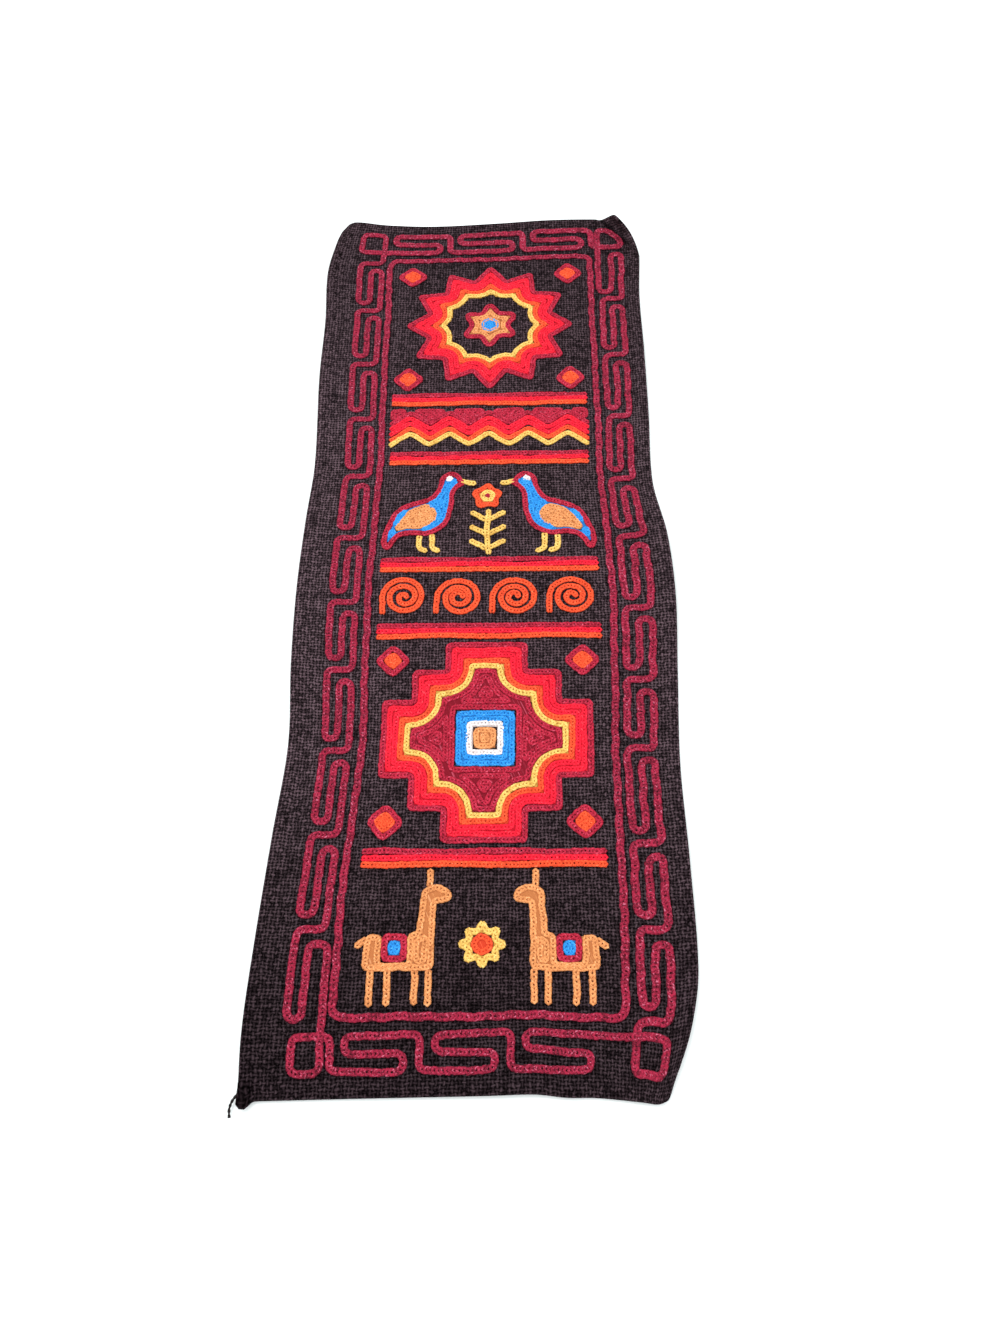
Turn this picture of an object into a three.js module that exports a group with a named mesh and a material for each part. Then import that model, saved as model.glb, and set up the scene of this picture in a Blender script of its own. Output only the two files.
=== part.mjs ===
// Embroidered wall hanging, laid out face up on a flat surface.
// A dark woven panel with a turned hem carries raised chain-stitch embroidery: a running meander
// round the border with a looped square at each corner, a frame line, and a column of motifs.
// Millimetres, +Z up. The panel's length lies along Y with its top edge at +Y, and the origin is
// on the surface, under the middle of the piece.
import * as THREE from 'three';

// Driving dimensions of the cloth
const CUT_WIDTH = 338;
const CUT_LENGTH = 914;
const HALF_WIDTH = CUT_WIDTH / 2;
const HALF_LENGTH = CUT_LENGTH / 2;
const SETTLE = { x: 1.7, y: 6.2 }; // brings the finished outline's box to the middle of the frame

// The turned hem, from the folded edge inwards: underside and face above the surface
const HEM_PROFILE = [
  { inset: 0, low: 1.0, high: 2.6 },
  { inset: 3, low: 0, high: 3.5 },
  { inset: 9, low: 0, high: 3.6 },
  { inset: 13, low: 0, high: 2.0 },
];
const CLOTH_THICK = HEM_PROFILE[3].high;

// How the long edges lie, from the bottom up. Sway moves the half of the cloth with its edge,
// nip draws in the margin alone, and lift raises the edge off the surface.
const LEFT_EDGE = [
  { at: -457, sway: 0, nip: 0, lift: 1 },
  { at: -410, sway: 2, nip: 0, lift: 4 },
  { at: -350, sway: 1, nip: 0, lift: 1 },
  { at: -260, sway: -5, nip: 0, lift: 5 },
  { at: -176, sway: -9, nip: 0, lift: 0 },
  { at: -100, sway: -5, nip: 0, lift: 5 },
  { at: -20, sway: -2, nip: 0, lift: 2 },
  { at: 50, sway: -4, nip: 0, lift: 4 },
  { at: 120, sway: -6, nip: 0, lift: 0 },
  { at: 230, sway: -2, nip: 0, lift: 4 },
  { at: 310, sway: -1, nip: 0, lift: 1 },
  { at: 380, sway: 1, nip: 0, lift: 5 },
  { at: 430, sway: -1, nip: -5, lift: 3 },
  { at: 457, sway: -2, nip: -14, lift: 2 },
];
const RIGHT_EDGE = [
  { at: -457, sway: -2, nip: -31, lift: 1 },
  { at: -431, sway: -2, nip: -17, lift: 4 },
  { at: -403, sway: -1, nip: -8, lift: 5 },
  { at: -365, sway: -1, nip: -1, lift: 3 },
  { at: -281, sway: -2, nip: 0, lift: 4 },
  { at: -196, sway: -3, nip: 0, lift: 0 },
  { at: -110, sway: 1, nip: 0, lift: 1 },
  { at: -35, sway: 4, nip: 0, lift: 6 },
  { at: 30, sway: 1, nip: 0, lift: 6 },
  { at: 95, sway: -4, nip: -4, lift: 0 },
  { at: 180, sway: -3, nip: -4, lift: 2 },
  { at: 260, sway: -3, nip: -4, lift: 4 },
  { at: 340, sway: -3, nip: -4, lift: 0 },
  { at: 400, sway: -2, nip: -2, lift: 1 },
  { at: 457, sway: -2, nip: -1, lift: 0 },
];
// How the short edges lie, from left to right: out is past the straight cut, lift as above.
const TOP_EDGE = [
  { at: -169, out: -5, lift: 4 },
  { at: -148, out: -5, lift: 5 },
  { at: -115, out: -5, lift: 2 },
  { at: -60, out: -6, lift: 0 },
  { at: 10, out: -4, lift: 1 },
  { at: 70, out: -1, lift: 2 },
  { at: 125, out: 0, lift: 1 },
  { at: 169, out: -2, lift: 0 },
];
const BOTTOM_EDGE = [
  { at: -169, out: 0, lift: 0 },
  { at: -90, out: -2, lift: 1 },
  { at: 10, out: -4, lift: 3 },
  { at: 45, out: -5, lift: 3 },
  { at: 68, out: -3, lift: 2 },
  { at: 90, out: -3, lift: 1 },
  { at: 130, out: 0, lift: 2 },
  { at: 152, out: 1, lift: 1 },
  { at: 169, out: -3, lift: 0 },
];
const NIP_POWER = 5; // how sharply a nip fades inwards from the edge
const SIDE_FLAT = 104; // the cloth lies flat on the surface inside these two lines
const END_FLAT = 398;
const END_PULL_FROM = 312; // the uneven cut of the short edges fades out here

// The top right corner stands up from a crease across it: a tight bend, then a looser curl forward.
const CREASE = { legTop: 45, legSide: 55 };
const CURL = { tight: 5, bend: 1.22, loose: 25 };
// The top left corner is worn round, and the lower left one is drawn out into a small knob of hem.
const WORN_ROUND = 14;
const KNOB = { u: -164.5, wide: 4, out: 6, lift: 2.5, from: 440 };

// Chain-stitch embroidery. It sits a hair above the woven face.
const STITCH_GAP = 0.4;
const CREASE_GAP = 0.8; // a little more beside the crease
const ROW_WIDTH = 5.2; // one row of chain stitch inside a motif
const LINE_WIDTH = 6.2; // the single line of the border and the frame
const LINE_CROWN = 3.4; // width of the line's rounded top
const STITCH_HIGH = 1.9;
const EMBROIDERY_SHIFT = 5; // the work sits this far right of the cloth's middle

// Border meander: three rows deep, running clockwise from corner to corner, with one S for each unit.
// It is sewn by eye, so the units differ in length, and on the long sides the rows drift. A drift gives
// how far out the inner and the outer row lie at the start and at the end of a side.
const MEANDER = { halfWidth: 117, halfLength: 413, depth: 26 };
const DRIFT = {
  even: { inner: [0, 0], outer: [26, 26] },
  right: { inner: [3.4, 3.4], outer: [26, 26] },
  left: { inner: [4.4, -0.8], outer: [26, 23] },
};
const UNITS = {
  top: [71, 80, 75],
  right: [78, 81, 80, 76, 68, 77, 71, 64, 83, 69, 68],
  bottom: [71, 67, 65],
  left: [79, 76, 74, 76, 69, 70, 72, 71, 72, 76, 72],
};
const MEANDER_SIDES = [
  {
    name: 'meander_top', corner: [-1, 1], ahead: [1, 0], lead: 1, square: 26,
    units: UNITS.top, drift: DRIFT.even,
  },
  {
    name: 'meander_right', corner: [1, 1], ahead: [0, -1], lead: 0, square: 26,
    units: UNITS.right, drift: DRIFT.right,
  },
  {
    name: 'meander_bottom', corner: [1, -1], ahead: [-1, 0], lead: 24, square: 21,
    units: UNITS.bottom, drift: DRIFT.even,
  },
  {
    name: 'meander_left', corner: [-1, -1], ahead: [0, 1], lead: 1, square: 26,
    units: UNITS.left, drift: DRIFT.left,
  },
];
const SQUARE_CUT = { side: 'meander_top', leg: 17 }; // the square beside the crease is cut across
const MEANDER_TURN = 11; // how far an S turns back before the next step
const MEANDER_BEND = 4.5; // corner radius of the line
// The frame is sewn by eye too: its turns, as across and along, with a slight bow in the long sides.
const FRAME = {
  corner: 8,
  turns: [
    [-109.2, -400], [108, -400], [110.4, -300], [110.4, 100],
    [108, 400], [-108, 400], [-108, -190], [-111.5, -280],
  ],
};

// Motif column inside the frame: centre heights and sizes
const SUN = { y: 300, points: 12, tip: 90, notch: 68, rows: 5 };
const ROSETTE = { petals: 6, radius: 26, wave: 5 };
const ZIGZAG = { y: 162, peaks: 5, halfWidth: 99, rise: 15, rows: 5, rowStep: 6.6 };
const BARS = [199, 125, 2, -68, -276];
const BAR = { halfWidth: 100, high: 3 * ROW_WIDTH };
const BIRD = { x: 59, y: 62, scale: 0.86 };
const FLOWER = { foot: 14, stemTop: 62, leafPairs: 3, leafReach: 16, blossomY: 79, blossom: 16 };
const SCROLL = { y: -33, count: 4, pitch: 50, outer: 20, inner: 3.5, turns: 2.35 };
const CROSS = { y: -172, arm: 36, step: 65, reach: 92 };
const HEART = { room: 26.2, outer: 25.5, hole: 15.1, core: 14.3 };
const DIAMOND = { x: 83, y: 74, half: 17 };
const LLAMA = { x: 58, y: -354, scale: 1.25 };
const SMALL_STAR = { y: -345, points: 8, tip: 24, notch: 13 };

const YARN = {
  crimson: 0xb4283f, red: 0xe0182a, flame: 0xf0552c, yellow: 0xf3c56a,
  peach: 0xee9d62, blue: 0x2f97e6, white: 0xf2ece6, ground: 0x2b2324, thread: 0x1d1a1b,
};

// Value of one column of an edge table at a place along the edge, on a smooth curve through its rows.
function rowValue(rows, column, at) {
  const last = rows.length - 1;
  const place = THREE.MathUtils.clamp(at, rows[0].at, rows[last].at);
  let i = 0;
  while (i < last - 1 && place > rows[i + 1].at) i += 1;
  const slopeAt = (k) => {
    const before = rows[Math.max(k - 1, 0)];
    const after = rows[Math.min(k + 1, last)];
    return (after[column] - before[column]) / (after.at - before.at);
  };
  const span = rows[i + 1].at - rows[i].at;
  const t = (place - rows[i].at) / span;
  const rise = rows[i + 1][column] - rows[i][column];
  const startBend = slopeAt(i) * span - rise;
  const endBend = rise - slopeAt(i + 1) * span;
  return rows[i][column] + t * rise + t * (1 - t) * ((1 - t) * startBend + t * endBend);
}

// The underside of the cloth at a flat place (u across, v along).
function underside(u, v) {
  const across = Math.abs(u) / HALF_WIDTH;
  const side = u < 0 ? LEFT_EDGE : RIGHT_EDGE;
  const end = v < 0 ? BOTTOM_EDGE : TOP_EDGE;
  const out = rowValue(side, 'sway', v) * across + rowValue(side, 'nip', v) * across ** NIP_POWER;
  const sideLift = THREE.MathUtils.smoothstep(Math.abs(u), SIDE_FLAT, HALF_WIDTH);
  const endPull = THREE.MathUtils.smoothstep(Math.abs(v), END_PULL_FROM, HALF_LENGTH);
  const endLift = THREE.MathUtils.smoothstep(Math.abs(v), END_FLAT, HALF_LENGTH);
  const knob = knobShare(u, v);
  const point = new THREE.Vector3(
    u + Math.sign(u) * out,
    v + Math.sign(v) * (rowValue(end, 'out', u) * endPull + KNOB.out * knob),
    rowValue(side, 'lift', v) * sideLift + rowValue(end, 'lift', u) * endLift + KNOB.lift * knob,
  );
  point.z = Math.max(point.z, 0);
  return curlCorner(point.add(wornRound(u, v)), u, v);
}

// How much of the knob a flat place has: all of it at the knob's middle, on the lower edge.
function knobShare(u, v) {
  const near = THREE.MathUtils.smoothstep(-v, KNOB.from, HALF_LENGTH);
  return near * Math.exp(-(((u - KNOB.u) / KNOB.wide) ** 2));
}

// The move that turns the square tip of the worn corner into a quarter round.
function wornRound(u, v) {
  const a = Math.max(0, 1 - (HALF_WIDTH + u) / WORN_ROUND);
  const b = Math.max(0, 1 - (HALF_LENGTH - v) / WORN_ROUND);
  const pull = (mine, other) => WORN_ROUND * mine * (1 - Math.sqrt(1 - (other * other) / 2));
  return new THREE.Vector3(pull(a, b), -pull(b, a), 0);
}

// How far a flat place lies past the crease, and the level way towards the corner.
const CREASE_LINE = Math.hypot(CREASE.legTop, CREASE.legSide);
const CREASE_WAY = new THREE.Vector3(CREASE.legSide / CREASE_LINE, CREASE.legTop / CREASE_LINE, 0);
function pastCrease(u, v) {
  const reach = (CREASE.legTop * CREASE.legSide) / CREASE_LINE;
  return reach + (u - HALF_WIDTH) * CREASE_WAY.x + (v - HALF_LENGTH) * CREASE_WAY.y;
}

// Past the crease the cloth turns up round the tight bend, then forward round the looser curl.
function curlCorner(point, u, v) {
  const past = pastCrease(u, v);
  if (past <= 0) return point;
  const { tight, bend, loose } = CURL;
  const first = Math.min(past / tight, bend);
  const angle = first + Math.max(0, past - tight * bend) / loose;
  const out = tight * Math.sin(first) + loose * (Math.sin(angle) - Math.sin(first));
  point.addScaledVector(CREASE_WAY, out - past);
  point.z += tight * (1 - Math.cos(first)) + loose * (Math.cos(first) - Math.cos(angle));
  return point;
}

// A point a height above the underside, square to the cloth.
function place(u, v, height) {
  const feel = 0.5; // step for the slope, along the cloth and never past its edge
  const kept = (at, half) => THREE.MathUtils.clamp(at, -half, half);
  const from = [kept(u - feel, HALF_WIDTH), kept(v - feel, HALF_LENGTH)];
  const to = [kept(u + feel, HALF_WIDTH), kept(v + feel, HALF_LENGTH)];
  const along = underside(to[0], v).sub(underside(from[0], v));
  const up = underside(u, to[1]).sub(underside(u, from[1]));
  const normal = along.cross(up).normalize();
  const point = underside(u, v).addScaledVector(normal, height);
  point.z = Math.max(point.z, 0); // nothing dips under the surface
  return point.add(new THREE.Vector3(SETTLE.x, SETTLE.y, 0));
}

// Underside and face of the cloth at a flat place, from its distance to the edge.
function hemHeight(column, u, v) {
  const inset = Math.min(HALF_WIDTH - Math.abs(u), HALF_LENGTH - Math.abs(v));
  let i = 0;
  while (i < HEM_PROFILE.length - 2 && inset > HEM_PROFILE[i + 1].inset) i += 1;
  const near = HEM_PROFILE[i];
  const far = HEM_PROFILE[i + 1];
  const t = THREE.MathUtils.clamp((inset - near.inset) / (far.inset - near.inset), 0, 1);
  return near[column] + t * (far[column] - near[column]);
}

function meshOf(name, geometry, colour, roughness = 0.95) {
  const material = new THREE.MeshStandardMaterial({ color: colour, roughness, metalness: 0 });
  const mesh = new THREE.Mesh(geometry, material);
  mesh.name = name;
  return mesh;
}

function solid(points, faces) {
  const geometry = new THREE.BufferGeometry().setFromPoints(points);
  geometry.setIndex(faces);
  return geometry;
}

// Grid lines from one edge to the other: fine over the hem, the border and the crease, and wide
// over the flat middle. Near is the left or lower edge, and far the right or upper one.
const SIDE_GRID = {
  near: [0, 3, 9, 13, 19, 25, 31, 37, 46, 57],
  far: [0, 3, 9, 13, 18, 23, 28, 33, 38, 43, 48, 57],
  border: 68,
  middle: 26,
};
const END_GRID = {
  near: [0, 3, 9, 13, 19, 25, 31, 40, 50],
  far: [0, 3, 9, 13, 18, 23, 28, 33, 38, 43, 49, 55],
  border: 62,
  middle: 16.5,
};
function gridLines(half, { near, far, border, middle }) {
  const inner = half - border;
  const count = Math.round((2 * inner) / middle);
  const centre = Array.from({ length: count + 1 }, (_, i) => -inner + (2 * inner * i) / count);
  return [
    ...near.map((inset) => inset - half),
    ...centre,
    ...far.map((inset) => half - inset).reverse(),
  ];
}

// The woven panel: two faces on one grid, joined round the rim.
function groundCloth() {
  const columns = gridLines(HALF_WIDTH, SIDE_GRID);
  const rows = gridLines(HALF_LENGTH, END_GRID);
  const points = [];
  for (const face of ['low', 'high']) {
    for (const v of rows) {
      for (const u of columns) points.push(place(u, v, hemHeight(face, u, v)));
    }
  }
  const wide = columns.length;
  const layer = wide * rows.length;
  const at = (face, r, c) => face * layer + r * wide + c;
  const faces = [];
  const quad = (a, b, c, d) => faces.push(a, b, c, a, c, d);
  const cell = (a, b, c, d, leansBack) => (leansBack ? quad(b, c, d, a) : quad(a, b, c, d));
  for (let r = 0; r < rows.length - 1; r += 1) {
    for (let c = 0; c < wide - 1; c += 1) {
      const leansBack = rows[r] > 0 && columns[c] > 0; // split along the crease
      const corners = [[r, c], [r, c + 1], [r + 1, c + 1], [r + 1, c]];
      const face = corners.map(([i, k]) => at(1, i, k));
      const under = corners.map(([i, k]) => at(0, i, k)).reverse();
      cell(...face, leansBack);
      cell(...under, !leansBack);
    }
    quad(at(0, r, 0), at(1, r, 0), at(1, r + 1, 0), at(0, r + 1, 0));
    quad(at(0, r, wide - 1), at(0, r + 1, wide - 1), at(1, r + 1, wide - 1), at(1, r, wide - 1));
  }
  const top = rows.length - 1;
  for (let c = 0; c < wide - 1; c += 1) {
    quad(at(0, 0, c), at(0, 0, c + 1), at(1, 0, c + 1), at(1, 0, c));
    quad(at(0, top, c), at(1, top, c), at(1, top, c + 1), at(0, top, c + 1));
  }
  return solid(points, faces);
}

// A polyline with its corners rounded off and its long stretches divided.
function bentLine(corners, bend, stretch, closed = false) {
  const count = corners.length;
  const points = [];
  const add = (p) => {
    const before = points[points.length - 1];
    const longest = pastCrease(p.x, p.y) > -MEANDER.depth ? CURL.tight : stretch;
    const parts = before ? Math.max(1, Math.round(before.distanceTo(p) / longest)) : 1;
    for (let k = 1; k <= parts; k += 1) {
      points.push(before ? before.clone().lerp(p, k / parts) : p.clone());
    }
  };
  corners.forEach((corner, i) => {
    const isEnd = !closed && (i === 0 || i === count - 1);
    if (isEnd) {
      add(corner);
      return;
    }
    const before = corners[(i - 1 + count) % count].clone().sub(corner);
    const after = corners[(i + 1) % count].clone().sub(corner);
    const cut = Math.min(bend, before.length() / 2, after.length() / 2);
    const start = corner.clone().addScaledVector(before.normalize(), cut);
    const end = corner.clone().addScaledVector(after.normalize(), cut);
    add(start);
    add(new THREE.QuadraticBezierCurve(start, corner, end).getPoint(0.5));
    add(end);
  });
  if (closed) {
    add(points[0]);
    points.pop();
  }
  return points;
}

// A raised line of stitches along a flat path, with a rounded-off section.
function stitchedLine(path, closed = false, width = LINE_WIDTH, crown = LINE_CROWN) {
  const count = path.length;
  const points = [];
  path.forEach((p, i) => {
    const before = path[closed ? (i - 1 + count) % count : Math.max(i - 1, 0)];
    const after = path[closed ? (i + 1) % count : Math.min(i + 1, count - 1)];
    const incoming = p.clone().sub(i > 0 || closed ? before : p).normalize();
    const outgoing = after.clone().sub(p).normalize();
    const forward = incoming.clone().add(outgoing).normalize();
    const sharp = Math.max(0.6, outgoing.lengthSq() ? forward.dot(outgoing) : 1);
    const left = new THREE.Vector2(-forward.y, forward.x).divideScalar(sharp);
    const gap = pastCrease(p.x, p.y) > -LINE_WIDTH ? CREASE_GAP : STITCH_GAP;
    const corner = (half, height) => {
      const q = p.clone().addScaledVector(left, half);
      points.push(place(q.x, q.y, hemHeight('high', q.x, q.y) + gap + height));
    };
    corner(width / 2, 0);
    corner(-width / 2, 0);
    corner(-crown / 2, STITCH_HIGH);
    corner(crown / 2, STITCH_HIGH);
  });
  const faces = [];
  const spans = closed ? count : count - 1;
  for (let i = 0; i < spans; i += 1) {
    const here = 4 * i;
    const next = 4 * ((i + 1) % count);
    for (let k = 0; k < 4; k += 1) {
      const turn = (k + 1) % 4;
      faces.push(here + k, next + turn, here + turn, here + k, next + k, next + turn);
    }
  }
  if (!closed) {
    const end = 4 * (count - 1);
    faces.push(0, 1, 2, 0, 2, 3, end, end + 2, end + 1, end, end + 3, end + 2);
  }
  return solid(points, faces);
}

// One side of the meander in its own run: forward along the inner row, back along the middle,
// forward along the outer row and in again, then the looped square at the corner it runs to.
function meanderCorners(run, { name, lead, square, units, drift }) {
  const { depth } = MEANDER;
  const drifted = ([first, last], t) => first + (last - first) * (t / run);
  const clear = LINE_WIDTH + STITCH_GAP; // room where the line meets its own crossing
  const corners = [[clear, 0]];
  let start = lead;
  let inner = 0; // the first and the last run meet the corner squares
  units.forEach((pitch, i) => {
    const next = start + pitch;
    const forward = next - MEANDER_TURN;
    const back = start + MEANDER_TURN;
    const outer = drifted(drift.outer, next);
    const following = drifted(drift.inner, next);
    const middle = (following + outer) / 2;
    corners.push([forward, inner], [forward, middle], [back, middle], [back, outer]);
    inner = i + 1 < units.length ? following : 0;
    corners.push([next, outer], [next, inner]);
    start = next;
  });
  const cut = name === SQUARE_CUT.side ? SQUARE_CUT.leg : 0;
  const end = run + square;
  const turn = cut ? [[end, depth - cut], [end - cut, depth]] : [[end, depth]];
  corners.push([end, 0], ...turn, [run, depth], [run, clear]);
  return corners;
}

function meanderSides() {
  const { halfWidth, halfLength } = MEANDER;
  return MEANDER_SIDES.map((side) => {
    const { name, corner, ahead } = side;
    const run = 2 * (ahead[0] ? halfWidth : halfLength);
    const corners = meanderCorners(run, side).map(([t, s]) => new THREE.Vector2(
      corner[0] * halfWidth + t * ahead[0] - s * ahead[1] + EMBROIDERY_SHIFT,
      corner[1] * halfLength + t * ahead[1] + s * ahead[0],
    ));
    return meshOf(name, stitchedLine(bentLine(corners, MEANDER_BEND, 24)), YARN.crimson);
  });
}

function frameLine() {
  const corners = FRAME.turns.map(([u, v]) => new THREE.Vector2(u + EMBROIDERY_SHIFT, v));
  return meshOf('frame_line', stitchedLine(bentLine(corners, FRAME.corner, 24, true), true), YARN.crimson);
}

// A raised field of stitches: a flat outline, with bare places cut out, laid on the cloth.
function field(name, outline, colour, bare = []) {
  const shape = new THREE.Shape(outline);
  shape.holes = bare.map((points) => new THREE.Path([...points].reverse()));
  const geometry = new THREE.ExtrudeGeometry(shape, { depth: STITCH_HIGH, bevelEnabled: false });
  const position = geometry.getAttribute('position');
  for (let i = 0; i < position.count; i += 1) {
    const height = CLOTH_THICK + STITCH_GAP + position.getZ(i);
    const p = place(position.getX(i) + EMBROIDERY_SHIFT, position.getY(i), height);
    position.setXYZ(i, p.x, p.y, p.z);
  }
  return meshOf(name, geometry, colour);
}

const flat = (pairs, x = 0, y = 0, scale = 1, facing = 1) => pairs
  .map(([u, v]) => new THREE.Vector2(x + facing * scale * u, y + scale * v));

const oblong = (w, h, y) => flat([[-w, -h], [w, -h], [w, h], [-w, h]], 0, y);

// A closed ring of points from its radius at each angle.
function ring(count, x, y, radiusAt) {
  return Array.from({ length: count }, (_, i) => {
    const angle = (2 * Math.PI * i) / count;
    const radius = radiusAt(i, angle);
    return new THREE.Vector2(x + radius * Math.sin(angle), y + radius * Math.cos(angle));
  });
}
const star = ({ y, points, tip, notch }) => ring(2 * points, 0, y, (i) => (i % 2 ? notch : tip));
const softOutline = (points, count) => {
  const curve = new THREE.CatmullRomCurve3(points.map((p) => new THREE.Vector3(p.x, p.y, 0)), true);
  return curve.getPoints(count).slice(0, count).map((p) => new THREE.Vector2(p.x, p.y));
};

function sunMotif() {
  const bareRadius = SUN.notch - SUN.rows * ROW_WIDTH;
  const bare = ring(36, 0, SUN.y, () => bareRadius);
  const petalAt = (i, angle) => ROSETTE.radius + ROSETTE.wave * Math.cos(ROSETTE.petals * angle);
  const petals = ring(36, 0, SUN.y, petalAt);
  return [
    field('sun', star(SUN), YARN.red, [bare]),
    field('sun_rosette', petals, YARN.peach),
  ];
}

function bars() {
  return BARS.map((y, i) => field(
    `bar_${i + 1}`,
    oblong(BAR.halfWidth, BAR.high / 2, y),
    YARN.crimson,
  ));
}

// Rows that follow the zigzag, with a straight row along their upper edge.
function zigzagBand() {
  const { y, peaks, halfWidth, rise, rows, rowStep } = ZIGZAG;
  const thick = rows * rowStep;
  const pitch = halfWidth / peaks;
  const lower = Array.from({ length: 2 * peaks + 1 }, (_, i) => [
    -halfWidth + i * pitch,
    y - thick / 2 + (i % 2 ? rise / 2 : -rise / 2),
  ]);
  const upper = y + thick / 2 + rise / 2;
  return field('zigzag', flat([...lower, [halfWidth, upper], [-halfWidth, upper]]), YARN.flame);
}

// A plump bird facing right, from the tip of its beak round by its crown, tail and breast
const BIRD_OUTLINE = [
  [50, 38], [40, 42], [36, 49], [25, 54], [14, 46], [12, 34], [4, 20], [-12, 14], [-32, 4],
  [-42, -14], [-48, -40], [-40, -52], [-29, -35], [-16, -31], [2, -32], [20, -22], [28, -6],
  [30, 10], [31, 24], [37, 33],
];
function birds() {
  return [['bird_left', 1], ['bird_right', -1]].map(([name, facing]) => field(
    name,
    softOutline(flat(BIRD_OUTLINE, -facing * BIRD.x, BIRD.y, BIRD.scale, facing), 40),
    YARN.blue,
  ));
}

function flowerMotif() {
  const { foot, stemTop, leafPairs, leafReach, blossomY, blossom } = FLOWER;
  const half = ROW_WIDTH / 2;
  const pitch = (stemTop - foot) / leafPairs;
  const right = [[half, foot]];
  for (let k = 0; k < leafPairs; k += 1) {
    const root = foot + k * pitch;
    right.push([half, root + pitch * 0.25], [leafReach, root + pitch * 0.75]);
    right.push([leafReach, root + pitch], [half, root + pitch * 0.6]);
  }
  right.push([half, stemTop]);
  const left = right.map(([u, v]) => [-u, v]).reverse();
  const bell = ring(24, 0, blossomY, (i, a) => blossom * (0.86 + 0.14 * Math.cos(5 * a)));
  return [
    field('flower_stem', flat([...right, ...left]), YARN.yellow),
    field('flower_blossom', bell, YARN.flame),
  ];
}

// A row of scrolls, each one line that winds in to its middle.
function scrolls() {
  const { y, count, pitch, outer, inner, turns } = SCROLL;
  const steps = 30;
  return Array.from({ length: count }, (_, k) => {
    const x = (k - (count - 1) / 2) * pitch + EMBROIDERY_SHIFT;
    const path = Array.from({ length: steps + 1 }, (_unused, i) => {
      const t = i / steps;
      const radius = outer + (inner - outer) * t;
      const angle = -Math.PI / 2 + t * turns * 2 * Math.PI;
      return new THREE.Vector2(x + radius * Math.sin(angle), y + radius * Math.cos(angle));
    });
    const lead = new THREE.Vector2(x - outer, y - outer * 0.8);
    return meshOf(`scroll_${k + 1}`, stitchedLine([lead, ...path]), YARN.flame);
  });
}

// A stepped cross of three steps a quarter.
function steppedCross() {
  const { arm: a, step: s, reach: r } = CROSS;
  const quarter = [[r, a], [s, a], [s, s], [a, s], [a, r]];
  const turned = [];
  for (let k = 0; k < 4; k += 1) {
    const c = Math.round(Math.cos((k * Math.PI) / 2));
    const n = Math.round(Math.sin((k * Math.PI) / 2));
    quarter.forEach(([u, v]) => turned.push([u * c - v * n, u * n + v * c]));
  }
  return flat(turned, 0, CROSS.y);
}
const diamondAt = (x, y, half) => flat([[half, 0], [0, half], [-half, 0], [0, -half]], x, y);

// Four diamonds round a middle height, numbered on from the first.
function diamonds(y, first) {
  const quarters = [[-1, 1], [1, 1], [1, -1], [-1, -1]];
  return quarters.map(([u, v], k) => field(
    `diamond_${first + k}`,
    diamondAt(u * DIAMOND.x, y + v * DIAMOND.y, DIAMOND.half),
    YARN.crimson,
  ));
}

function crossMotif() {
  const square = (half) => oblong(half, half, CROSS.y);
  return [
    field('cross', steppedCross(), YARN.red, [square(HEART.room)]),
    field('cross_heart', square(HEART.outer), YARN.blue, [square(HEART.hole)]),
    field('cross_core', square(HEART.core), YARN.white),
  ];
}

// A llama facing right: tail, back legs, front legs, chest, head, ears and neck
const LLAMA_OUTLINE = [
  [-24, 13], [-30, 8], [-29, 3], [-23, 6], [-23, -28], [-18, -28], [-16, -9], [-13, -9],
  [-12, -28], [-7, -28], [-6, -9], [3, -9], [4, -28], [9, -28], [9, -9], [11, -9], [12, -28],
  [17, -28], [16, 12], [16, 33], [26, 34], [26, 41], [17, 46], [15, 54], [11, 54], [11, 45],
  [8, 40], [6, 15],
];
function llamas() {
  return [['llama_left', 1], ['llama_right', -1]].map(([name, facing]) => field(
    name,
    flat(LLAMA_OUTLINE, -facing * LLAMA.x, LLAMA.y, LLAMA.scale, facing),
    YARN.peach,
  ));
}

// The loose end of the hem thread, out of the lower left corner and down onto the surface.
function threadTail() {
  const thick = 2.2;
  const root = place(-HALF_WIDTH, -HALF_LENGTH + 6, hemHeight('low', -HALF_WIDTH, 0) + 0.9);
  const route = [
    [-1.6, 0.2, 0], [-3.3, -3.4, -0.2], [-4.9, -8, -0.7], [-5.4, -12, -0.8], [-4.4, -17, -0.8],
  ];
  const curve = new THREE.CatmullRomCurve3(route.map(([x, y, z]) => new THREE.Vector3(
    root.x + x,
    root.y + y,
    Math.max(root.z + z, thick / 2),
  )));
  const section = new THREE.Shape(ring(8, 0, 0, () => thick / 2));
  return new THREE.ExtrudeGeometry(section, { steps: 14, extrudePath: curve, bevelEnabled: false });
}

const hanging = new THREE.Group();
hanging.add(
  meshOf('ground_cloth', groundCloth(), YARN.ground),
  ...meanderSides(),
  frameLine(),
  ...sunMotif(),
  ...bars(),
  zigzagBand(),
  ...birds(),
  ...flowerMotif(),
  ...scrolls(),
  ...crossMotif(),
  ...diamonds(CROSS.y, 1),
  ...diamonds(SUN.y, 5),
  ...llamas(),
  field('small_star', star(SMALL_STAR), YARN.yellow),
  meshOf('thread_tail', threadTail(), YARN.thread),
);

export default hanging;
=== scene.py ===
# %% [markdown]
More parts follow.
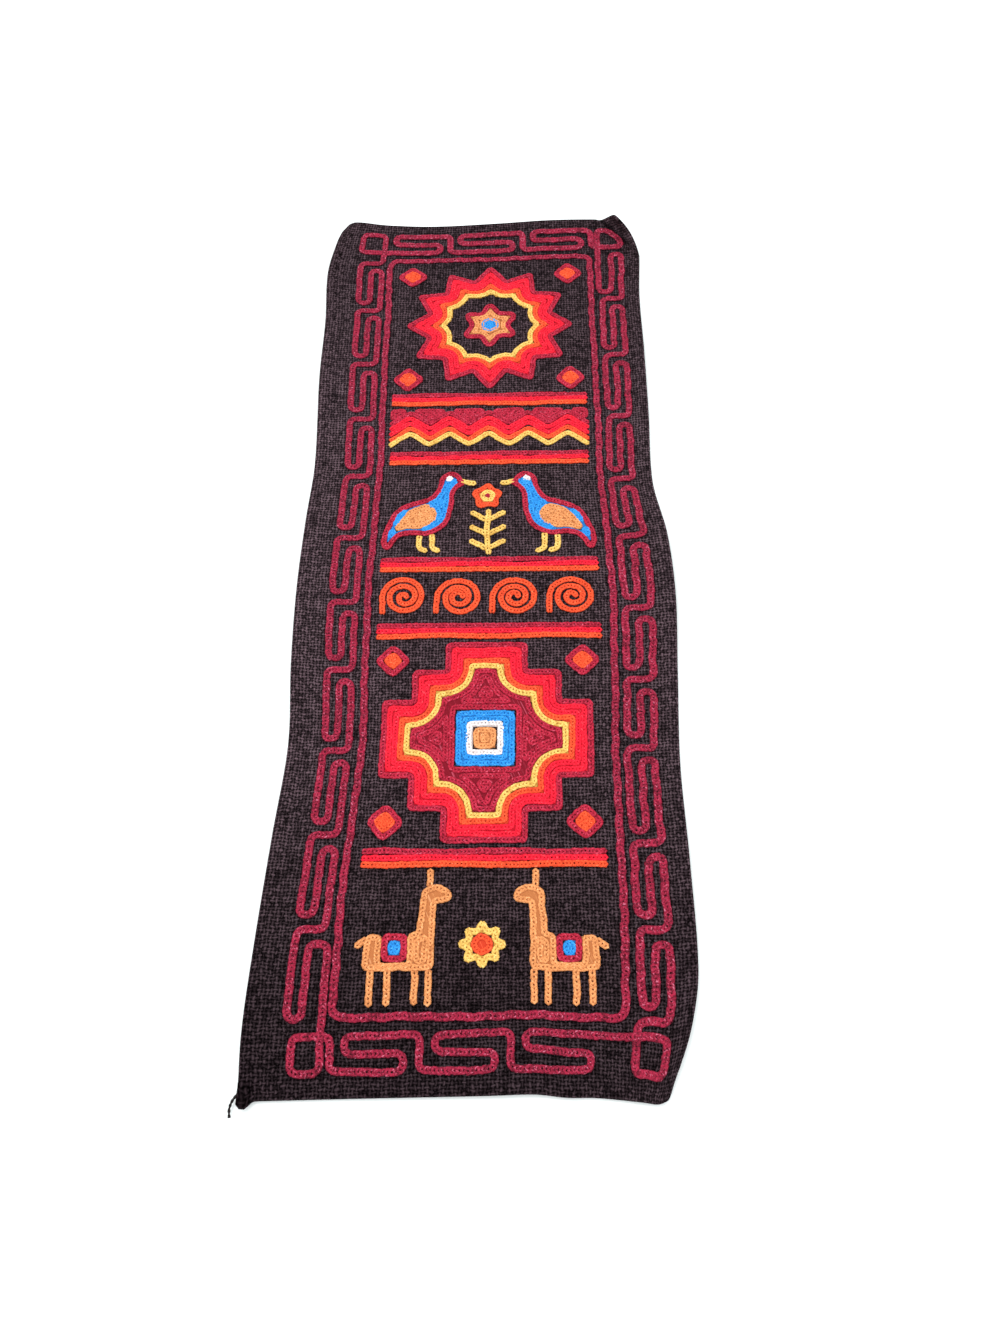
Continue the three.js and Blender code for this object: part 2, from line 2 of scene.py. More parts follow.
# # An embroidered wall hanging, laid out face up
#
# The real piece is a panel of dark, coarse plain-weave wool with a turned hem. Thick wool yarn is
# worked on it in chain stitch: a meander round the border, a frame line, and a column of motifs
# filled with row after row of stitches. This lesson lays the cloth first, then sews every row as
# real loops of yarn, then adds the colours, the floor and the light.
#
# The imported model comes in as a fixed frame, and its solids are hidden as the pieces that stand for
# them are made.

# %% Load the frame
import math

import bpy
import numpy as np
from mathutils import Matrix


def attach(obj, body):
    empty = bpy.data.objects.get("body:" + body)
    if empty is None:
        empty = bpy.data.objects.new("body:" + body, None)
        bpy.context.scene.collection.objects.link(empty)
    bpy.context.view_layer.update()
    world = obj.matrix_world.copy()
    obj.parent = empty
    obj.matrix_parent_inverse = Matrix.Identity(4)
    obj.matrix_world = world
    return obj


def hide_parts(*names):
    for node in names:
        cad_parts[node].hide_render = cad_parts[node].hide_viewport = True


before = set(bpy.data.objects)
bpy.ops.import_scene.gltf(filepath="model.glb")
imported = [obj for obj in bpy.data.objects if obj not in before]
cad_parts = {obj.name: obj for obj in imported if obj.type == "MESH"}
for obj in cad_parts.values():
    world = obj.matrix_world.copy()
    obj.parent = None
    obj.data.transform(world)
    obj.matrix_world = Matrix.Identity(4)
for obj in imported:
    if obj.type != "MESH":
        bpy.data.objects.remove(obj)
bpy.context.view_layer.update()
MM = 0.001  # sizes below are in millimetres, and Blender works in metres
chance = np.random.default_rng(23)  # hand work is uneven, and the seed keeps it the same each run
print("solids in the frame:", len(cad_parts))

# %% [markdown]
# ## The camera
#
# The hanging lies on a flat surface and is seen from above its lower end, so its far end looks
# narrower. The lens is a little wide, and the camera is tilted about 28 degrees from straight down.

# %% Set the camera
SENSOR_WIDTH, FOCAL_LENGTH = 36.0, 29.7
CAMERA_PLACE = (0.0422, -0.5515, 0.8382)
CAMERA_TURN = (28.5, 1.43, 0.30)  # degrees: the tilt, a slight lean and a slight turn

lens = bpy.data.cameras.new("camera")
lens.sensor_width = SENSOR_WIDTH
lens.lens = FOCAL_LENGTH
camera = bpy.data.objects.new("camera", lens)
camera.location = CAMERA_PLACE
camera.rotation_euler = [math.radians(angle) for angle in CAMERA_TURN]
bpy.context.scene.collection.objects.link(camera)
bpy.context.scene.camera = camera
print("camera", round(camera.location.z, 3), "m above the surface")

# %% [markdown]
# ## How the cloth lies
#
# A cloth that was cut square never lies square: its edges sway in and out and lift a little off the
# surface, and one corner here is creased and curls up. All of that could be sculpted point by
# point, but then every stitch on it would need sculpting too. Instead one function says where any
# flat place (u across, v along) of the cut panel ends up, and the cloth and the yarn are both laid
# through it. Short tables hold the sway, nip and lift along each edge.

# %% Tables of the four edges
HALF_WIDTH = 169.0
HALF_LENGTH = 457.0
SETTLE = np.array([1.7, 6.2, 0.0])  # brings the finished outline's box to the middle of the frame
UP = np.array([0.0, 0.0, 1.0])


def table(columns, rows):
    return dict(zip(columns.split(), np.array(rows, float).T))


LEFT_EDGE = table("at sway nip lift", [
    (-457, 0, 0, 1), (-410, 2, 0, 4), (-350, 1, 0, 1), (-260, -5, 0, 5), (-176, -9, 0, 0),
    (-100, -5, 0, 5), (-20, -2, 0, 2), (50, -4, 0, 4), (120, -6, 0, 0), (230, -2, 0, 4),
    (310, -1, 0, 1), (380, 1, 0, 5), (430, -1, -5, 3), (457, -2, -14, 2),
])
RIGHT_EDGE = table("at sway nip lift", [
    (-457, -2, -31, 1), (-431, -2, -17, 4), (-403, -1, -8, 5), (-365, -1, -1, 3), (-281, -2, 0, 4),
    (-196, -3, 0, 0), (-110, 1, 0, 1), (-35, 4, 0, 6), (30, 1, 0, 6), (95, -4, -4, 0),
    (180, -3, -4, 2), (260, -3, -4, 4), (340, -3, -4, 0), (400, -2, -2, 1), (457, -2, -1, 0),
])
TOP_EDGE = table("at out lift", [
    (-169, -5, 4), (-148, -5, 5), (-115, -5, 2), (-60, -6, 0), (10, -4, 1), (70, -1, 2),
    (125, 0, 1), (169, -2, 0),
])
BOTTOM_EDGE = table("at out lift", [
    (-169, 0, 0), (-90, -2, 1), (10, -4, 3), (45, -5, 3), (68, -3, 2), (90, -3, 1),
    (130, 0, 2), (152, 1, 1), (169, -3, 0),
])
NIP_POWER = 5  # how sharply a nip fades inwards from the edge
SIDE_FLAT, END_FLAT = 104.0, 398.0  # the cloth lies flat on the surface inside these two lines
END_PULL_FROM = 312.0  # the uneven cut of the short edges fades out here
CREASE_TOP_LEG, CREASE_SIDE_LEG = 45.0, 55.0
CREASE_LINE = math.hypot(CREASE_TOP_LEG, CREASE_SIDE_LEG)
CREASE_WAY = np.array([CREASE_SIDE_LEG / CREASE_LINE, CREASE_TOP_LEG / CREASE_LINE, 0.0])
CURL_TIGHT, CURL_BEND, CURL_LOOSE = 5.0, 1.22, 25.0
WORN_ROUND = 14.0
FEEL = 0.5  # how far to either side the slope of the cloth is felt
CLOTH_THICK = 2.0
KNOB_U, KNOB_WIDE, KNOB_OUT, KNOB_LIFT, KNOB_FROM = -164.5, 4.0, 6.0, 2.5, 440.0
print("cut size:", 2 * HALF_WIDTH, "by", 2 * HALF_LENGTH, "mm")


# %% From a flat place to its place in the air
def edge_value(edge, column, at):
    """One column of an edge table at places along that edge, on a smooth curve through its rows."""
    knots, values = edge["at"], edge[column]
    at = np.clip(at, knots[0], knots[-1])
    last = len(knots) - 1
    i = np.clip(np.searchsorted(knots, at, side="left") - 1, 0, last - 1)
    before, after = np.maximum(np.arange(last + 1) - 1, 0), np.minimum(np.arange(last + 1) + 1, last)
    slope = (values[after] - values[before]) / (knots[after] - knots[before])
    span = knots[i + 1] - knots[i]
    rise = values[i + 1] - values[i]
    t = (at - knots[i]) / span
    start_bend = slope[i] * span - rise
    end_bend = rise - slope[i + 1] * span
    return values[i] + t * rise + t * (1 - t) * ((1 - t) * start_bend + t * end_bend)


def ease(x, low, high):
    t = np.clip((x - low) / (high - low), 0, 1)
    return t * t * (3 - 2 * t)


def worn_round(u, v):
    """The move that turns the square tip of the top left corner into a quarter round."""
    a = np.maximum(0, 1 - (HALF_WIDTH + u) / WORN_ROUND)
    b = np.maximum(0, 1 - (HALF_LENGTH - v) / WORN_ROUND)
    inwards = WORN_ROUND * a * (1 - np.sqrt(1 - b * b / 2))
    down = WORN_ROUND * b * (1 - np.sqrt(1 - a * a / 2))
    return np.stack([inwards, -down, np.zeros_like(inwards)], -1)


def past_crease(u, v):
    reach = CREASE_TOP_LEG * CREASE_SIDE_LEG / CREASE_LINE
    return reach + (u - HALF_WIDTH) * CREASE_WAY[0] + (v - HALF_LENGTH) * CREASE_WAY[1]


def curled(u, v):
    """The move past the crease: up round a tight bend, then forward round a looser curl."""
    past = np.maximum(past_crease(u, v), 0)
    first = np.minimum(past / CURL_TIGHT, CURL_BEND)
    angle = first + np.maximum(0, past - CURL_TIGHT * CURL_BEND) / CURL_LOOSE
    out = CURL_TIGHT * np.sin(first) + CURL_LOOSE * (np.sin(angle) - np.sin(first))
    up = CURL_TIGHT * (1 - np.cos(first)) + CURL_LOOSE * (np.cos(first) - np.cos(angle))
    return (out - past)[..., None] * CREASE_WAY + up[..., None] * UP


def underside(u, v):
    """Where the underside of the cloth lies, for arrays of flat places."""
    on_left, below = u < 0, v < 0

    def side(column):
        left, right = (edge_value(edge, column, v) for edge in (LEFT_EDGE, RIGHT_EDGE))
        return np.where(on_left, left, right)

    def end(column):
        low, high = (edge_value(edge, column, u) for edge in (BOTTOM_EDGE, TOP_EDGE))
        return np.where(below, low, high)

    across = np.abs(u) / HALF_WIDTH
    out = side("sway") * across + side("nip") * across**NIP_POWER
    knob = ease(-v, KNOB_FROM, HALF_LENGTH) * np.exp(-(((u - KNOB_U) / KNOB_WIDE) ** 2))
    pull = end("out") * ease(np.abs(v), END_PULL_FROM, HALF_LENGTH) + KNOB_OUT * knob
    side_lift = side("lift") * ease(np.abs(u), SIDE_FLAT, HALF_WIDTH)
    end_lift = end("lift") * ease(np.abs(v), END_FLAT, HALF_LENGTH)
    lift = np.maximum(side_lift + end_lift + KNOB_LIFT * knob, 0)
    point = np.stack([u + np.sign(u) * out, v + np.sign(v) * pull, lift], -1)
    return point + worn_round(u, v) + curled(u, v)


def laid(u, v, height):
    """Points a height above the underside, square to the cloth, and the cloth's up direction there."""
    u_from, u_to = (np.clip(u + step, -HALF_WIDTH, HALF_WIDTH) for step in (-FEEL, FEEL))
    v_from, v_to = (np.clip(v + step, -HALF_LENGTH, HALF_LENGTH) for step in (-FEEL, FEEL))
    across = underside(u_to, v) - underside(u_from, v)
    along = underside(u, v_to) - underside(u, v_from)
    up = np.cross(across, along)
    up /= np.linalg.norm(up, axis=-1, keepdims=True)
    point = underside(u, v) + up * np.asarray(height)[..., None] + SETTLE
    point[..., 2] = np.maximum(point[..., 2], 0)
    return point, up


corner, _ = laid(np.array(HALF_WIDTH), np.array(HALF_LENGTH), np.array(CLOTH_THICK))
print("the curled corner's tip is", round(float(corner[2]), 1), "mm up")

# %% [markdown]
# ## The woven panel
#
# The ground is wool canvas about 2 mm thick, turned once at the edge, so the rim is a soft double
# roll. A plane with a Solidify modifier would give sharp, even edges. Here a fine grid is laid
# through the function above as two faces that meet at a rounded rim, with more lines over the hem
# and the curled corner, where the cloth bends most.

# %% The hem's section and the grid lines
HEM = table("inset low high", [
    (0.0, 1.45, 2.15), (0.4, 0.85, 2.75), (1.2, 0.35, 3.15), (3.0, 0.0, 3.5), (8.5, 0.0, 3.55),
    (10.5, 0.0, 3.05), (12.5, 0.0, 2.2), (14.0, 0.0, 2.0),
])
HEM_LINES = (0, 0.4, 1.2, 3, 5.5, 8.5, 10.5, 12.5, 14)  # grid lines over the hem, from the edge in
PLAIN_STEP, CURL_STEP = 4.2, 1.6
CURL_MARGIN = 4.0  # the fine lines start this far before the crease


def hem(column, u, v):
    inset = np.minimum(HALF_WIDTH - np.abs(u), HALF_LENGTH - np.abs(v))
    return np.interp(inset, HEM["inset"], HEM[column])


def grid_lines(half, curl):
    """Places of the grid lines from one edge to the other, fine over the hems and the curl."""
    inner = half - HEM_LINES[-1]
    bend = half - curl
    plain = np.linspace(-inner, bend, round((inner + bend) / PLAIN_STEP) + 1)[1:]
    fine = np.linspace(bend, inner, round((inner - bend) / CURL_STEP) + 1)[1:-1]
    rim = half - np.array(HEM_LINES)
    return np.concatenate([-rim, plain, fine, rim[::-1]])


columns = grid_lines(HALF_WIDTH, CREASE_TOP_LEG + CURL_MARGIN)
rows = grid_lines(HALF_LENGTH, CREASE_SIDE_LEG + CURL_MARGIN)
print("grid of", len(columns), "by", len(rows), "lines")


# %% Lay the panel
CREASE_DEEP, CREASE_WIDE = 1.3, 2.4
CREASE_BOTTOM = 1.5  # the crease is deepest this far past its line
CREASE_FADE, CREASE_FADE_FROM = 0.65, 10.0
# Painted shade round the knob at the lower left corner, and painted light on the upright corner
KNOB_SHADE, KNOB_SHADE_UP, KNOB_SHADE_WIDE, KNOB_SHADE_LONG = 0.7, 7.0, 8.0, 9.0
UPRIGHT_PAINTED_LIGHT, UPRIGHT_FROM, UPRIGHT_TO = 0.5, 5.0, 12.0


def crease_share(u, v):
    """How deep in the crease a flat place lies, from 0 to 1. It fades towards the right edge."""
    fade = 1 - CREASE_FADE * ease(HALF_LENGTH - v, CREASE_FADE_FROM, CREASE_SIDE_LEG)
    return fade * np.exp(-(((past_crease(u, v) - CREASE_BOTTOM) / CREASE_WIDE) ** 2))


def painted_shade_at(u, v):
    """Painted shade on the weave: more in the crease and round the knob, and less, as painted light, on
    the upright corner.
    """
    up_from_edge = v + HALF_LENGTH - KNOB_SHADE_UP
    knob = np.exp(-(((u - KNOB_U) / KNOB_SHADE_WIDE) ** 2) - (up_from_edge / KNOB_SHADE_LONG) ** 2)
    upright = UPRIGHT_PAINTED_LIGHT * ease(past_crease(u, v), UPRIGHT_FROM, UPRIGHT_TO)
    return np.maximum(crease_share(u, v), KNOB_SHADE * knob) - upright


def add_mesh(name, points, quads):
    """A mesh object from arrays of points, in millimetres, and of four-cornered faces."""
    data = bpy.data.meshes.new(name)
    quads = np.asarray(quads)
    data.vertices.add(len(points))
    data.vertices.foreach_set("co", (np.asarray(points) * MM).astype(np.float32).ravel())
    data.loops.add(quads.size)
    data.loops.foreach_set("vertex_index", quads.astype(np.int32).ravel())
    data.polygons.add(len(quads))
    data.polygons.foreach_set("loop_start", np.arange(0, quads.size, 4, dtype=np.int32))
    data.polygons.foreach_set("use_smooth", np.ones(len(quads), bool))
    data.update(calc_edges=True)
    data.validate()
    piece = bpy.data.objects.new(name, data)
    bpy.context.scene.collection.objects.link(piece)
    return piece


def add_places(piece, name, values):
    """A vector kept at every point, for the material to read."""
    held = piece.data.attributes.new(name, "FLOAT_VECTOR", "POINT")
    held.data.foreach_set("vector", np.asarray(values, np.float32).ravel())


def lay_panel():
    u, v = np.meshgrid(columns, rows)
    faces_at = (hem("low", u, v), hem("high", u, v) - CREASE_DEEP * crease_share(u, v))
    layers = [laid(u, v, height)[0].reshape(-1, 3) for height in faces_at]
    index = np.arange(u.size).reshape(u.shape)
    a, b, c, d = index[:-1, :-1], index[:-1, 1:], index[1:, 1:], index[1:, :-1]
    face = np.stack([a, b, c, d], -1).reshape(-1, 4)
    rim = np.concatenate([index[0, :-1], index[:-1, -1], index[-1, :0:-1], index[:0:-1, 0]])
    after = np.roll(rim, -1)
    walls = np.stack([rim, after, after + u.size, rim + u.size], -1)
    piece = add_mesh("woven_panel", np.concatenate(layers), np.concatenate([
        face[:, ::-1], face + u.size, walls,
    ]))
    # The third value is painted shade: darker in the crease and round the knob, lighter as painted light
    # on the upright corner
    flat = np.stack([u, v, painted_shade_at(u, v)], -1).reshape(-1, 3)
    add_places(piece, "flat_place_and_painted_shade", np.concatenate([flat, flat]))
    return piece


panel = lay_panel()
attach(panel, "root")
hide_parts("ground_cloth")
print("woven panel:", len(panel.data.polygons), "faces")

# %% [markdown]
# ## Chain stitch
#
# A chain stitch is a loop of yarn that comes up through the last loop, opens out, and is held down
# at its tip by the next one. Seen from above it is a row of links about 6 mm wide, each with a small
# dark eye. A strip with a bump pattern would look flat from the side, so every stitch is a real loop
# here: one short table gives the loop's shape, and arrays carry it along a path. Stitches differ a
# little in length, width and height, and a row strays a little from its path, as hand work does.

# %% Measures of the yarn and its loop
STITCH = 3.0  # length of one stitch
LINE_HALF, LINE_YARN = 1.85, 1.38  # a border line: its middle to the yarn's, and the yarn's half width
ROW_HALF, ROW_YARN = 1.62, 1.30  # the same, for the closer rows inside a motif
YARN_HIGH = 1.05  # the yarn is flattened where it lies on the cloth
YARN_SIDES = 6
UNEVEN = 0.1  # how much the yarn's thickness varies
LOOP = table("along side high", [
    (-0.12, -0.35, 0.15), (0.22, -0.92, 1.00), (0.85, -1.00, 1.12), (1.28, 0.00, 0.85),
    (0.85, 1.00, 1.12), (0.22, 0.92, 1.00), (-0.12, 0.35, 0.15),
])
WAVES = ((95, 1.8), (38, 0.7), (21, 0.7))  # a row strays in waves: the length and share of each
ROW_STRAY, LINE_STRAY = 0.2, 0.35
START_SPREAD, STRETCH_SPREAD, WIDTH_SPREAD = 0.05, 0.05, 0.05  # as shares of a stitch
SIDE_SPREAD, HIGH_SPREAD = 0.13, 0.07
FINE = 0.5  # spacing of the points that a path is measured by
FEWEST = 6  # points on the shortest path
EASED = 5  # points on each side that a corner is eased over
RUN_ON = 40  # points that a path runs on past its ends
TINY = 1e-9  # keeps a division by a length from failing at zero


def eased(line, reach):
    """A line with each point moved to the mean of its neighbours within reach on both sides."""
    shares = np.ones(2 * reach + 1) / (2 * reach + 1)
    padded = np.pad(line, ((reach, reach), (0, 0)), mode="edge")
    return np.stack([np.convolve(column, shares, mode="valid") for column in padded.T], -1)


def measured(path, closed):
    """Distances along a flat path, its places and its sideways directions, at even small steps."""
    line = np.asarray(path, float)
    if closed:
        line = np.vstack([line, line[:1]])
    reach = np.concatenate([[0], np.cumsum(np.hypot(*np.diff(line, axis=0).T))])
    count = max(int(reach[-1] / FINE), FEWEST)
    at = np.linspace(0, reach[-1], count + 1)
    line = np.stack([np.interp(at, reach, line[:, k]) for k in (0, 1)], -1)
    extra = np.arange(1, RUN_ON + 1)
    if closed:
        head, tail = line[-1 - extra[::-1] % count], line[extra % count]
    else:
        head = line[0] - (line[1] - line[0]) * extra[::-1, None]
        tail = line[-1] + (line[-1] - line[-2]) * extra[:, None]
    line = np.vstack([head, line, tail])
    at = np.arange(-RUN_ON, count + RUN_ON + 1) * (reach[-1] / count)
    line = eased(line, EASED)
    way = np.gradient(line, axis=0)
    way /= np.linalg.norm(way, axis=1, keepdims=True) + TINY
    return reach[-1], at, line, np.stack([-way[:, 1], way[:, 0]], -1)


# %% Sew loops along a path
def sew(path, closed=False, half=ROW_HALF, stray=ROW_STRAY):
    """The loops of one row: middles of the yarn, the cloth's up direction, and a tone for each."""
    length, at, line, sideways = measured(path, closed)
    for wave, share in WAVES:
        turns = at / length * round(length / wave) + chance.random()
        swing = stray * share * chance.normal() * np.sin(2 * math.pi * turns)
        line = line + sideways * swing[:, None]
    count = max(round(length / STITCH), 3 if closed else 1)
    pitch = length / count
    start = np.arange(count) * pitch + chance.normal(0, START_SPREAD, count) * pitch
    stretch = 1 + chance.normal(0, STRETCH_SPREAD, count)
    wide = half * (1 + chance.normal(0, WIDTH_SPREAD, count))
    drift = chance.normal(0, SIDE_SPREAD, count)
    raised = chance.normal(0, HIGH_SPREAD, count)
    tone = chance.random(count)
    along = start[:, None] + LOOP["along"] * pitch * stretch[:, None]
    side = LOOP["side"] * wide[:, None] + drift[:, None]
    place = [np.interp(along, at, line[:, k]) + side * np.interp(along, at, sideways[:, k])
             for k in (0, 1)]
    high = hem("high", *place) + LOOP["high"] + raised[:, None]
    middles, up = laid(place[0], place[1], high)
    return middles, up, tone


def yarn_tubes(loops, wide=ROW_YARN, high=YARN_HIGH):
    """Points, faces and yarn places of closed tubes round the loops of many rows."""
    middles = np.concatenate([row[0] for row in loops])
    up = np.concatenate([row[1] for row in loops])
    tone = np.concatenate([row[2] for row in loops])
    count, knots = middles.shape[:2]
    way = np.gradient(middles, axis=1)
    way /= np.linalg.norm(way, axis=-1, keepdims=True)
    across = np.cross(way, up)
    across /= np.linalg.norm(across, axis=-1, keepdims=True)
    top = np.cross(across, way)
    turn = -math.pi / 2 + 2 * math.pi * (np.arange(YARN_SIDES) + 0.5) / YARN_SIDES
    section = (wide * np.cos(turn)[:, None] * across[:, :, None]
               + high * np.sin(turn)[:, None] * top[:, :, None])
    section *= 1 + chance.normal(0, UNEVEN, (count, knots, YARN_SIDES, 1))
    points = middles[:, :, None] + section
    ring = np.arange(count * knots * YARN_SIDES).reshape(count, knots, YARN_SIDES)
    here, there = ring[:, :-1], ring[:, 1:]
    sides = np.stack([here, there, np.roll(there, -1, 2), np.roll(here, -1, 2)], -1).reshape(-1, 4)
    first, last = ring[:, 0], ring[:, -1]
    # Two four-cornered faces close the six-sided tube at each end.
    caps = [first[:, [0, 1, 2, 3]], first[:, [0, 3, 4, 5]],
            last[:, [3, 2, 1, 0]], last[:, [5, 4, 3, 0]]]
    steps = np.linalg.norm(np.diff(middles, axis=1), axis=-1)
    run = np.concatenate([np.zeros((count, 1)), np.cumsum(steps, 1)], 1)
    places = np.stack(np.broadcast_arrays(
        run[:, :, None], (np.arange(YARN_SIDES) + 0.5) / YARN_SIDES, tone[:, None, None]), -1)
    return points.reshape(-1, 3), np.concatenate([sides, *caps]), places.reshape(-1, 3)


trial = yarn_tubes([sew([(0, 0), (STITCH, 0)])])
print("one stitch:", len(trial[1]), "faces")

# %% [markdown]
# ## Border meander and frame line
#
# The border is one crimson line that runs clockwise in S-shaped steps, three rows deep, and loops
# round a square at each corner, where it crosses itself. A curve drawn by hand in the viewport
# would do, but the steps repeat, so a function walks them from a list of unit lengths. The line was
# sewn by eye, so the lengths differ and the rows of the long sides drift in or out. A plain frame
# line runs inside it.

# %% Paths of the border
SHIFT = 5.0  # the work sits this far right of the cloth's middle
MEANDER_HALF_WIDTH, MEANDER_HALF_LENGTH, MEANDER_DEPTH = 117.0, 413.0, 26.0
MEANDER_TURN, MEANDER_BEND = 11.0, 5.6
BEND_POINTS = 7  # points on a rounded corner
SQUARE_CUT = 15.5  # the square beside the crease is cut across
MEANDER_SIDES = {  # where a side starts, the way it runs, its lead, its square, the cut and its units
    "meander_top": ((-1, 1), (1, 0), 1, 26, SQUARE_CUT, (71, 80, 75)),
    "meander_right": ((1, 1), (0, -1), 0, 26, 0, (78, 81, 80, 76, 68, 77, 71, 64, 83, 69, 68)),
    "meander_bottom": ((1, -1), (-1, 0), 24, 21, 0, (71, 67, 65)),
    "meander_left": ((-1, -1), (0, 1), 1, 26, 0, (79, 76, 74, 76, 69, 70, 72, 71, 72, 76, 72)),
}
EVEN = (0.0, 0.0), (MEANDER_DEPTH, MEANDER_DEPTH)
DRIFT = {  # how far out the inner and the outer row lie, at the start and at the end of a side
    "meander_right": ((3.4, 3.4), (26.0, 26.0)),
    "meander_left": ((4.4, -0.8), (26.0, 23.0)),
}
FRAME_BEND = 9.0
FRAME_TURNS = (
    (-109.2, -400.0), (108.0, -400.0), (110.4, -300.0), (110.4, 100.0),
    (108.0, 400.0), (-108.0, 400.0), (-108.0, -190.0), (-111.5, -280.0),
)


def bent(corners, bend, closed=False):
    """A path with its corners rounded off."""
    corners = np.asarray(corners, float)
    count = len(corners)
    path = []
    for i, corner in enumerate(corners):
        if not closed and i in (0, count - 1):
            path.append(corner)
            continue
        back = corners[i - 1] - corner
        ahead = corners[(i + 1) % count] - corner
        cut = min(bend, np.hypot(*back) / 2, np.hypot(*ahead) / 2)
        start = corner + back / np.hypot(*back) * cut
        end = corner + ahead / np.hypot(*ahead) * cut
        for t in np.linspace(0, 1, BEND_POINTS):
            path.append((1 - t) ** 2 * start + 2 * t * (1 - t) * corner + t * t * end)
    return np.array(path)


def meander_path(name):
    """The line of one side, from t along it and s out from it."""
    corner, ahead, lead, square, cut, units = MEANDER_SIDES[name]
    inner_drift, outer_drift = DRIFT.get(name, EVEN)
    run = 2 * (MEANDER_HALF_WIDTH if ahead[0] else MEANDER_HALF_LENGTH)
    depth = MEANDER_DEPTH
    steps = [(0, 0)]
    start = lead
    inner = 0  # the first and the last run meet the corner squares
    for i, pitch in enumerate(units):
        forward, back = start + pitch - MEANDER_TURN, start + MEANDER_TURN
        start += pitch
        outer = np.interp(start, (0, run), outer_drift)
        following = np.interp(start, (0, run), inner_drift)
        middle = (following + outer) / 2
        steps += [(forward, inner), (forward, middle), (back, middle), (back, outer)]
        inner = following if i + 1 < len(units) else 0
        steps += [(start, outer), (start, inner)]
    end = run + square
    turn = [(end, depth - cut), (end - cut, depth)] if cut else [(end, depth)]
    steps += [(end, 0), *turn, (run, depth), (run, 0)]
    t, s = np.array(steps, float).T
    u = corner[0] * MEANDER_HALF_WIDTH + t * ahead[0] - s * ahead[1] + SHIFT
    v = corner[1] * MEANDER_HALF_LENGTH + t * ahead[1] + s * ahead[0]
    return bent(np.stack([u, v], -1), MEANDER_BEND)


border = {name: meander_path(name) for name in MEANDER_SIDES}
frame_turns = [(SHIFT + across, along) for across, along in FRAME_TURNS]
print("meander sides:", {name: len(path) for name, path in border.items()})

# %% Sew the border
SLOTS = {"border_yarn": "crimson_yarn"}  # the frame's name for the border's yarn
embroidery = {}  # every piece of yarn on the panel, and the yarn it is made of


def work_up(name, yarn, stacks, nodes=()):
    """Makes one piece from stacks of points, faces and yarn places, for those solids of the frame."""
    starts = np.cumsum([0] + [len(points) for points, _, _ in stacks])
    faces = np.concatenate([stack[1] + start for stack, start in zip(stacks, starts)])
    piece = add_mesh(name, np.concatenate([stack[0] for stack in stacks]), faces)
    add_places(piece, "strand", np.concatenate([stack[2] for stack in stacks]))
    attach(piece, "root")
    if nodes:
        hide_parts(*nodes)
    SLOTS.get(yarn, yarn)
    embroidery[piece] = yarn
    print(name, "in", yarn, "-", 2 * len(faces), "triangles")


LOOSER = {  # these lines are sewn a little wider
    "meander_top": 1.22, "meander_right": 1.12, "meander_left": 1.06, "frame_line": 1.08,
}


def sew_line(piece, node, path, closed=False):
    """One line of the border, in place of one solid of the frame."""
    wider = LOOSER.get(node, 1.0)
    row = sew(path, closed, LINE_HALF * wider, LINE_STRAY)
    work_up(piece, "border_yarn", [yarn_tubes([row], LINE_YARN * wider)], [node])


for side, path in border.items():
    sew_line(side + "_row", side, path)
sew_line("frame_row", "frame_line", bent(frame_turns, FRAME_BEND, closed=True), closed=True)

# %% [markdown]
# ## Rows that fill a shape
#
# A motif is filled from its outline inwards, each row lying against the last, and the yarn changes
# colour from row to row. Shrinking the outline by moving its corners goes wrong in narrow places.
# A safer way is a depth map: the distance of every point inside the shape from its outline. Rows
# are then the level lines of that map, like contour lines on a hill, and they split or close up by
# themselves where the shape gets narrow.

# %% A depth map and its level lines
ROW = 5.2  # from one row to the next
CELL = 0.8  # spacing of the depth map


class Depth:
    """Distance inside a flat outline, on a grid. Negative outside."""

    def __init__(self, outline=None, spread=None, values=None):
        if values is not None:
            self.x, self.y, self.values = spread[0], spread[1], values
            return
        outline = np.asarray(outline, float)
        if spread is None:
            low, high = outline.min(0) - 3 * CELL, outline.max(0) + 3 * CELL
            spread = [np.arange(low[k], high[k] + CELL, CELL) for k in (0, 1)]
        self.x, self.y = spread
        x, y = np.meshgrid(self.x, self.y)
        nearest = np.full(x.shape, np.inf)
        inside = np.zeros(x.shape, bool)
        for a, b in zip(outline, np.roll(outline, -1, 0)):
            way = b - a
            t = ((x - a[0]) * way[0] + (y - a[1]) * way[1]) / max(way @ way, TINY)
            t = np.clip(t, 0, 1)
            gap = np.hypot(x - a[0] - t * way[0], y - a[1] - t * way[1])
            nearest = np.minimum(nearest, gap)
            if a[1] != b[1]:
                crosses = (a[1] > y) != (b[1] > y)
                inside ^= crosses & (x < a[0] + (y - a[1]) * way[0] / way[1])
        self.values = np.where(inside, nearest, -nearest)

    def alike(self, values):
        """Another shape on the same grid."""
        return Depth(spread=(self.x, self.y), values=values)

    def less(self, other):
        """This shape without another one on the same grid."""
        return self.alike(np.minimum(self.values, -other.values))

    def drawn_in(self, by):
        return self.alike(self.values - by)

    def between(self, near, far):
        """The band of this shape from one depth to another."""
        return self.alike(np.minimum(self.values - near, far - self.values))

    def level(self, depth):
        return level_lines(self.x, self.y, self.values - depth)


